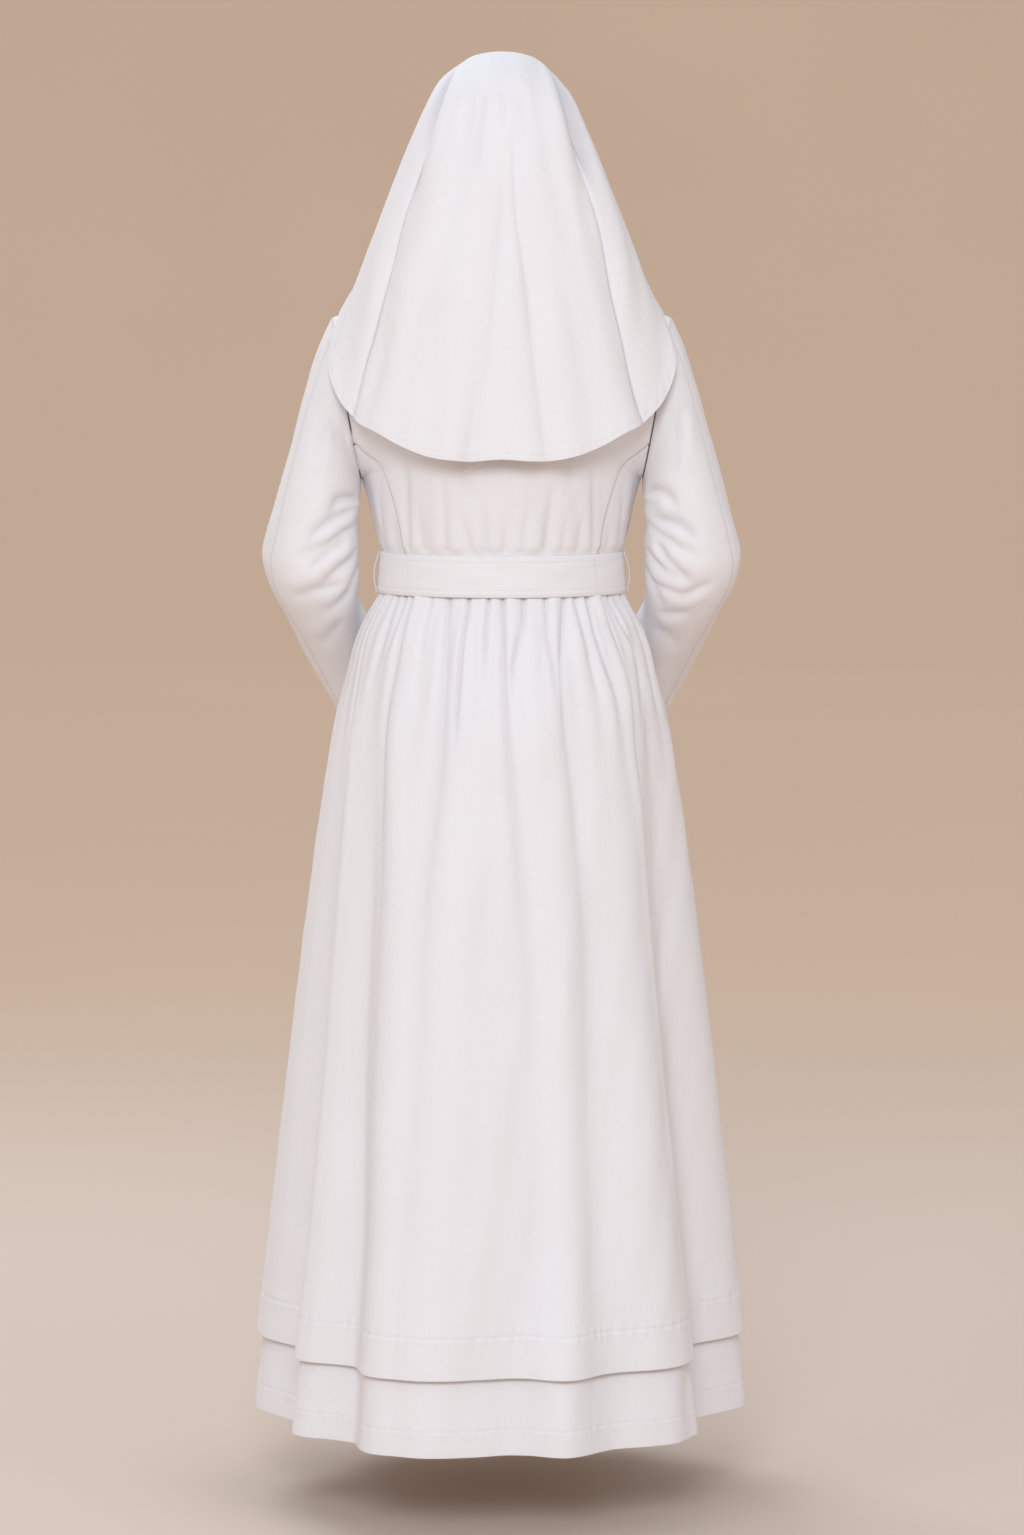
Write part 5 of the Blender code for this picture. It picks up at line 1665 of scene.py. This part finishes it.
LIGHT_COLOUR = (0.84, 0.925, 1.0)
SKY_COLOUR = (0.94, 0.965, 1.0, 1)
SKY_STRENGTH = 0.64
Light = namedtuple("Light", "name place aim size power")
LIGHTS = table(
    Light,
    ("key_light", (0.5, 6.8, 2.7), (0, 0, -0.3), 2.6, 216),
    ("left_fill", (3.8, 3.6, 1.2), (0, 0, -0.3), 2.6, 28),
    ("right_fill", (-3.8, 3.6, 1.2), (0, 0, -0.3), 2.6, 26),
    ("front_light", (1.6, -2.6, 2.4), (0, 0, -0.2), 2.4, 60),
)


def backdrop_finish():
    """Matt paper: a pale floor near the habit, and an evenly lit warm backdrop further out."""
    finish = Finish("studio_paper")
    place = finish.node("ShaderNodeTexCoord", {}, {}).outputs["Object"]
    cloudy = finish.noise("3D", place, 0.8, 2.0)
    colour = tuple(settings().backdrop_colour)
    pale = toned(colour, (1.06, 1.14, 1.26))
    matt, glow, dim = (toned(colour, (share, share, share)) for share in (0.35, 0.585, 0.545))
    flat = finish.node("ShaderNodeVectorMath", {"operation": "MULTIPLY"}, {0: place, 1: (1.0, 1.0, 0.0)})
    away = finish.node("ShaderNodeVectorMath", {"operation": "LENGTH"}, {0: flat.outputs[0]})
    far = finish.value(finish.node(
        "ShaderNodeMapRange", {"clamp": True, "interpolation_type": "SMOOTHSTEP"},
        {"Value": away.outputs["Value"], "From Min": BACKDROP_START, "From Max": BACKDROP_FULL}))
    lit = finish.mix(cloudy, glow, dim)
    finish.feed(finish.shader.inputs["Base Color"], finish.mix(far, pale, matt))
    finish.feed(finish.shader.inputs["Emission Color"], finish.mix(far, (0.0, 0.0, 0.0, 1.0), lit))
    finish.shader.inputs["Emission Strength"].default_value = 1.0
    finish.material.cycles.emission_sampling = "NONE"
    finish.shader.inputs["Roughness"].default_value = 0.9
    return finish.material


def build_stage():
    """Pale floor that curves up into a round wall, soft lights and the camera at the photo's angle."""
    even = np.linspace(-1, 1, STUDIO_GRID)
    x, y = np.meshgrid(even, even)
    x, y = x * np.sqrt(1 - y * y / 2), y * np.sqrt(1 - x * x / 2)
    share = np.maximum(np.hypot(x, y), 1e-9)
    turn = np.clip((share - BEND_START) / (BEND_END - BEND_START), 0, 1) * np.pi / 2
    radius = np.clip(share / BEND_START, 0, 1) * (STUDIO_RADIUS - STUDIO_BEND) + STUDIO_BEND * np.sin(turn)
    rise = STUDIO_BEND * (1 - np.cos(turn))
    rise = rise + np.clip((share - BEND_END) / (1 - BEND_END), 0, 1) * (STUDIO_HEIGHT - STUDIO_BEND)
    vertices = points(x / share * radius, y / share * radius, rise - NECK_HEIGHT).reshape(-1, 3)
    index = np.arange(STUDIO_GRID ** 2).reshape(STUDIO_GRID, STUDIO_GRID)
    corners = [index[:-1, :-1], index[:-1, 1:], index[1:, 1:], index[1:, :-1]]
    faces = np.stack(corners, axis=-1).reshape(-1, 4)
    backdrop = mesh_piece("studio_backdrop", vertices, faces, backdrop_finish())
    for light in LIGHTS:
        area_light(light)
    world = bpy.data.worlds.new("studio_air")
    world.use_nodes = True
    sky = world.node_tree.nodes["Background"]
    sky.inputs["Color"].default_value = SKY_COLOUR
    sky.inputs["Strength"].default_value = SKY_STRENGTH
    bpy.context.scene.world = world
    bpy.context.scene.view_settings.view_transform = "Standard"
    camera = bpy.data.cameras.new("camera")
    camera.lens = CAMERA_LENS
    camera.sensor_width = CAMERA_SENSOR
    camera.sensor_fit = "AUTO"
    camera.clip_end = 100
    stand = bpy.data.objects.new("camera", camera)
    stand.location = CAMERA_PLACE
    stand.rotation_euler = (np.radians(90 - CAMERA_PITCH_DOWN), 0, np.pi)
    bpy.context.scene.collection.objects.link(stand)
    bpy.context.scene.camera = stand


def area_light(light):
    lamp = bpy.data.lights.new(light.name, "AREA")
    lamp.shape = "DISK"
    lamp.size = light.size
    lamp.energy = light.power
    lamp.color = LIGHT_COLOUR
    stand = bpy.data.objects.new(light.name, lamp)
    stand.location = light.place
    stand.rotation_euler = (Vector(light.aim) - Vector(light.place)).to_track_quat("-Z", "Y").to_euler()
    bpy.context.scene.collection.objects.link(stand)


# Add-on


class NunHabitSettings(bpy.types.PropertyGroup):
    cloth_colour: bpy.props.FloatVectorProperty(
        name="Cloth colour", description="Colour of the habit's white cloth and thread", subtype="COLOR",
        size=3, min=0, max=1, default=(0.86, 0.85, 0.88))
    backdrop_colour: bpy.props.FloatVectorProperty(
        name="Backdrop colour", description="Colour of the studio floor and wall", subtype="COLOR",
        size=3, min=0, max=1, default=(0.67, 0.505, 0.385))
    weave_pitch: bpy.props.FloatProperty(
        name="Weave pitch", description="Distance between neighbouring threads", unit="LENGTH",
        min=0.0002, max=0.004, precision=5, default=0.0009)
    stitch_spacing: bpy.props.FloatProperty(
        name="Stitch spacing", description="Distance from one stitch to the next", unit="LENGTH",
        min=0.001, max=0.01, precision=5, default=0.0029)


class OBJECT_OT_habit_veil(bpy.types.Operator):
    """Build the veil with its narrow stitched hem"""
    bl_idname = "nun_habit.veil"
    bl_label = "Veil"

    def execute(self, context):
        build_veil()
        return {"FINISHED"}


class OBJECT_OT_habit_bodice(bpy.types.Operator):
    """Build the bodice's front, middle back and side backs"""
    bl_idname = "nun_habit.bodice"
    bl_label = "Bodice"

    def execute(self, context):
        build_bodice()
        return {"FINISHED"}


class OBJECT_OT_habit_sleeves(bpy.types.Operator):
    """Build the four sleeve pieces with their cuff hems"""
    bl_idname = "nun_habit.sleeves"
    bl_label = "Sleeves"

    def execute(self, context):
        build_sleeves()
        return {"FINISHED"}


class OBJECT_OT_habit_belt(bpy.types.Operator):
    """Build the stitched belt and its two loops"""
    bl_idname = "nun_habit.belt"
    bl_label = "Belt"

    def execute(self, context):
        build_belt()
        return {"FINISHED"}


class OBJECT_OT_habit_overskirt(bpy.types.Operator):
    """Build the gathered overskirt with its deep hem"""
    bl_idname = "nun_habit.overskirt"
    bl_label = "Overskirt"

    def execute(self, context):
        build_overskirt()
        return {"FINISHED"}


class OBJECT_OT_habit_underskirt(bpy.types.Operator):
    """Build the longer underskirt with its hem"""
    bl_idname = "nun_habit.underskirt"
    bl_label = "Underskirt"

    def execute(self, context):
        build_underskirt()
        return {"FINISHED"}


class OBJECT_OT_habit_stage(bpy.types.Operator):
    """Build the pale studio floor and wall, the lights and the camera"""
    bl_idname = "nun_habit.stage"
    bl_label = "Studio stage"

    def execute(self, context):
        build_stage()
        return {"FINISHED"}


BUILDERS = (
    OBJECT_OT_habit_stage,
    OBJECT_OT_habit_veil,
    OBJECT_OT_habit_bodice,
    OBJECT_OT_habit_sleeves,
    OBJECT_OT_habit_belt,
    OBJECT_OT_habit_overskirt,
    OBJECT_OT_habit_underskirt,
)


class VIEW3D_PT_habit(bpy.types.Panel):
    bl_idname = "VIEW3D_PT_habit"
    bl_label = "Nun habit"
    bl_space_type = "VIEW_3D"
    bl_region_type = "UI"
    bl_category = "Habit"

    def draw(self, context):
        chosen = context.scene.nun_habit
        for name in NunHabitSettings.__annotations__:
            self.layout.prop(chosen, name)
        for builder in BUILDERS:
            self.layout.operator(builder.bl_idname)


CLASSES = (NunHabitSettings,) + BUILDERS + (VIEW3D_PT_habit,)


def register():
    for cls in CLASSES:
        bpy.utils.register_class(cls)
    bpy.types.Scene.nun_habit = bpy.props.PointerProperty(type=NunHabitSettings)


def unregister():
    del bpy.types.Scene.nun_habit
    for cls in reversed(CLASSES):
        bpy.utils.unregister_class(cls)


def main():
    register()
    bpy.ops.nun_habit.stage()
    bpy.ops.nun_habit.veil()
    bpy.ops.nun_habit.bodice()
    bpy.ops.nun_habit.sleeves()
    bpy.ops.nun_habit.belt()
    bpy.ops.nun_habit.overskirt()
    bpy.ops.nun_habit.underskirt()


if __name__ == "__main__":
    main()
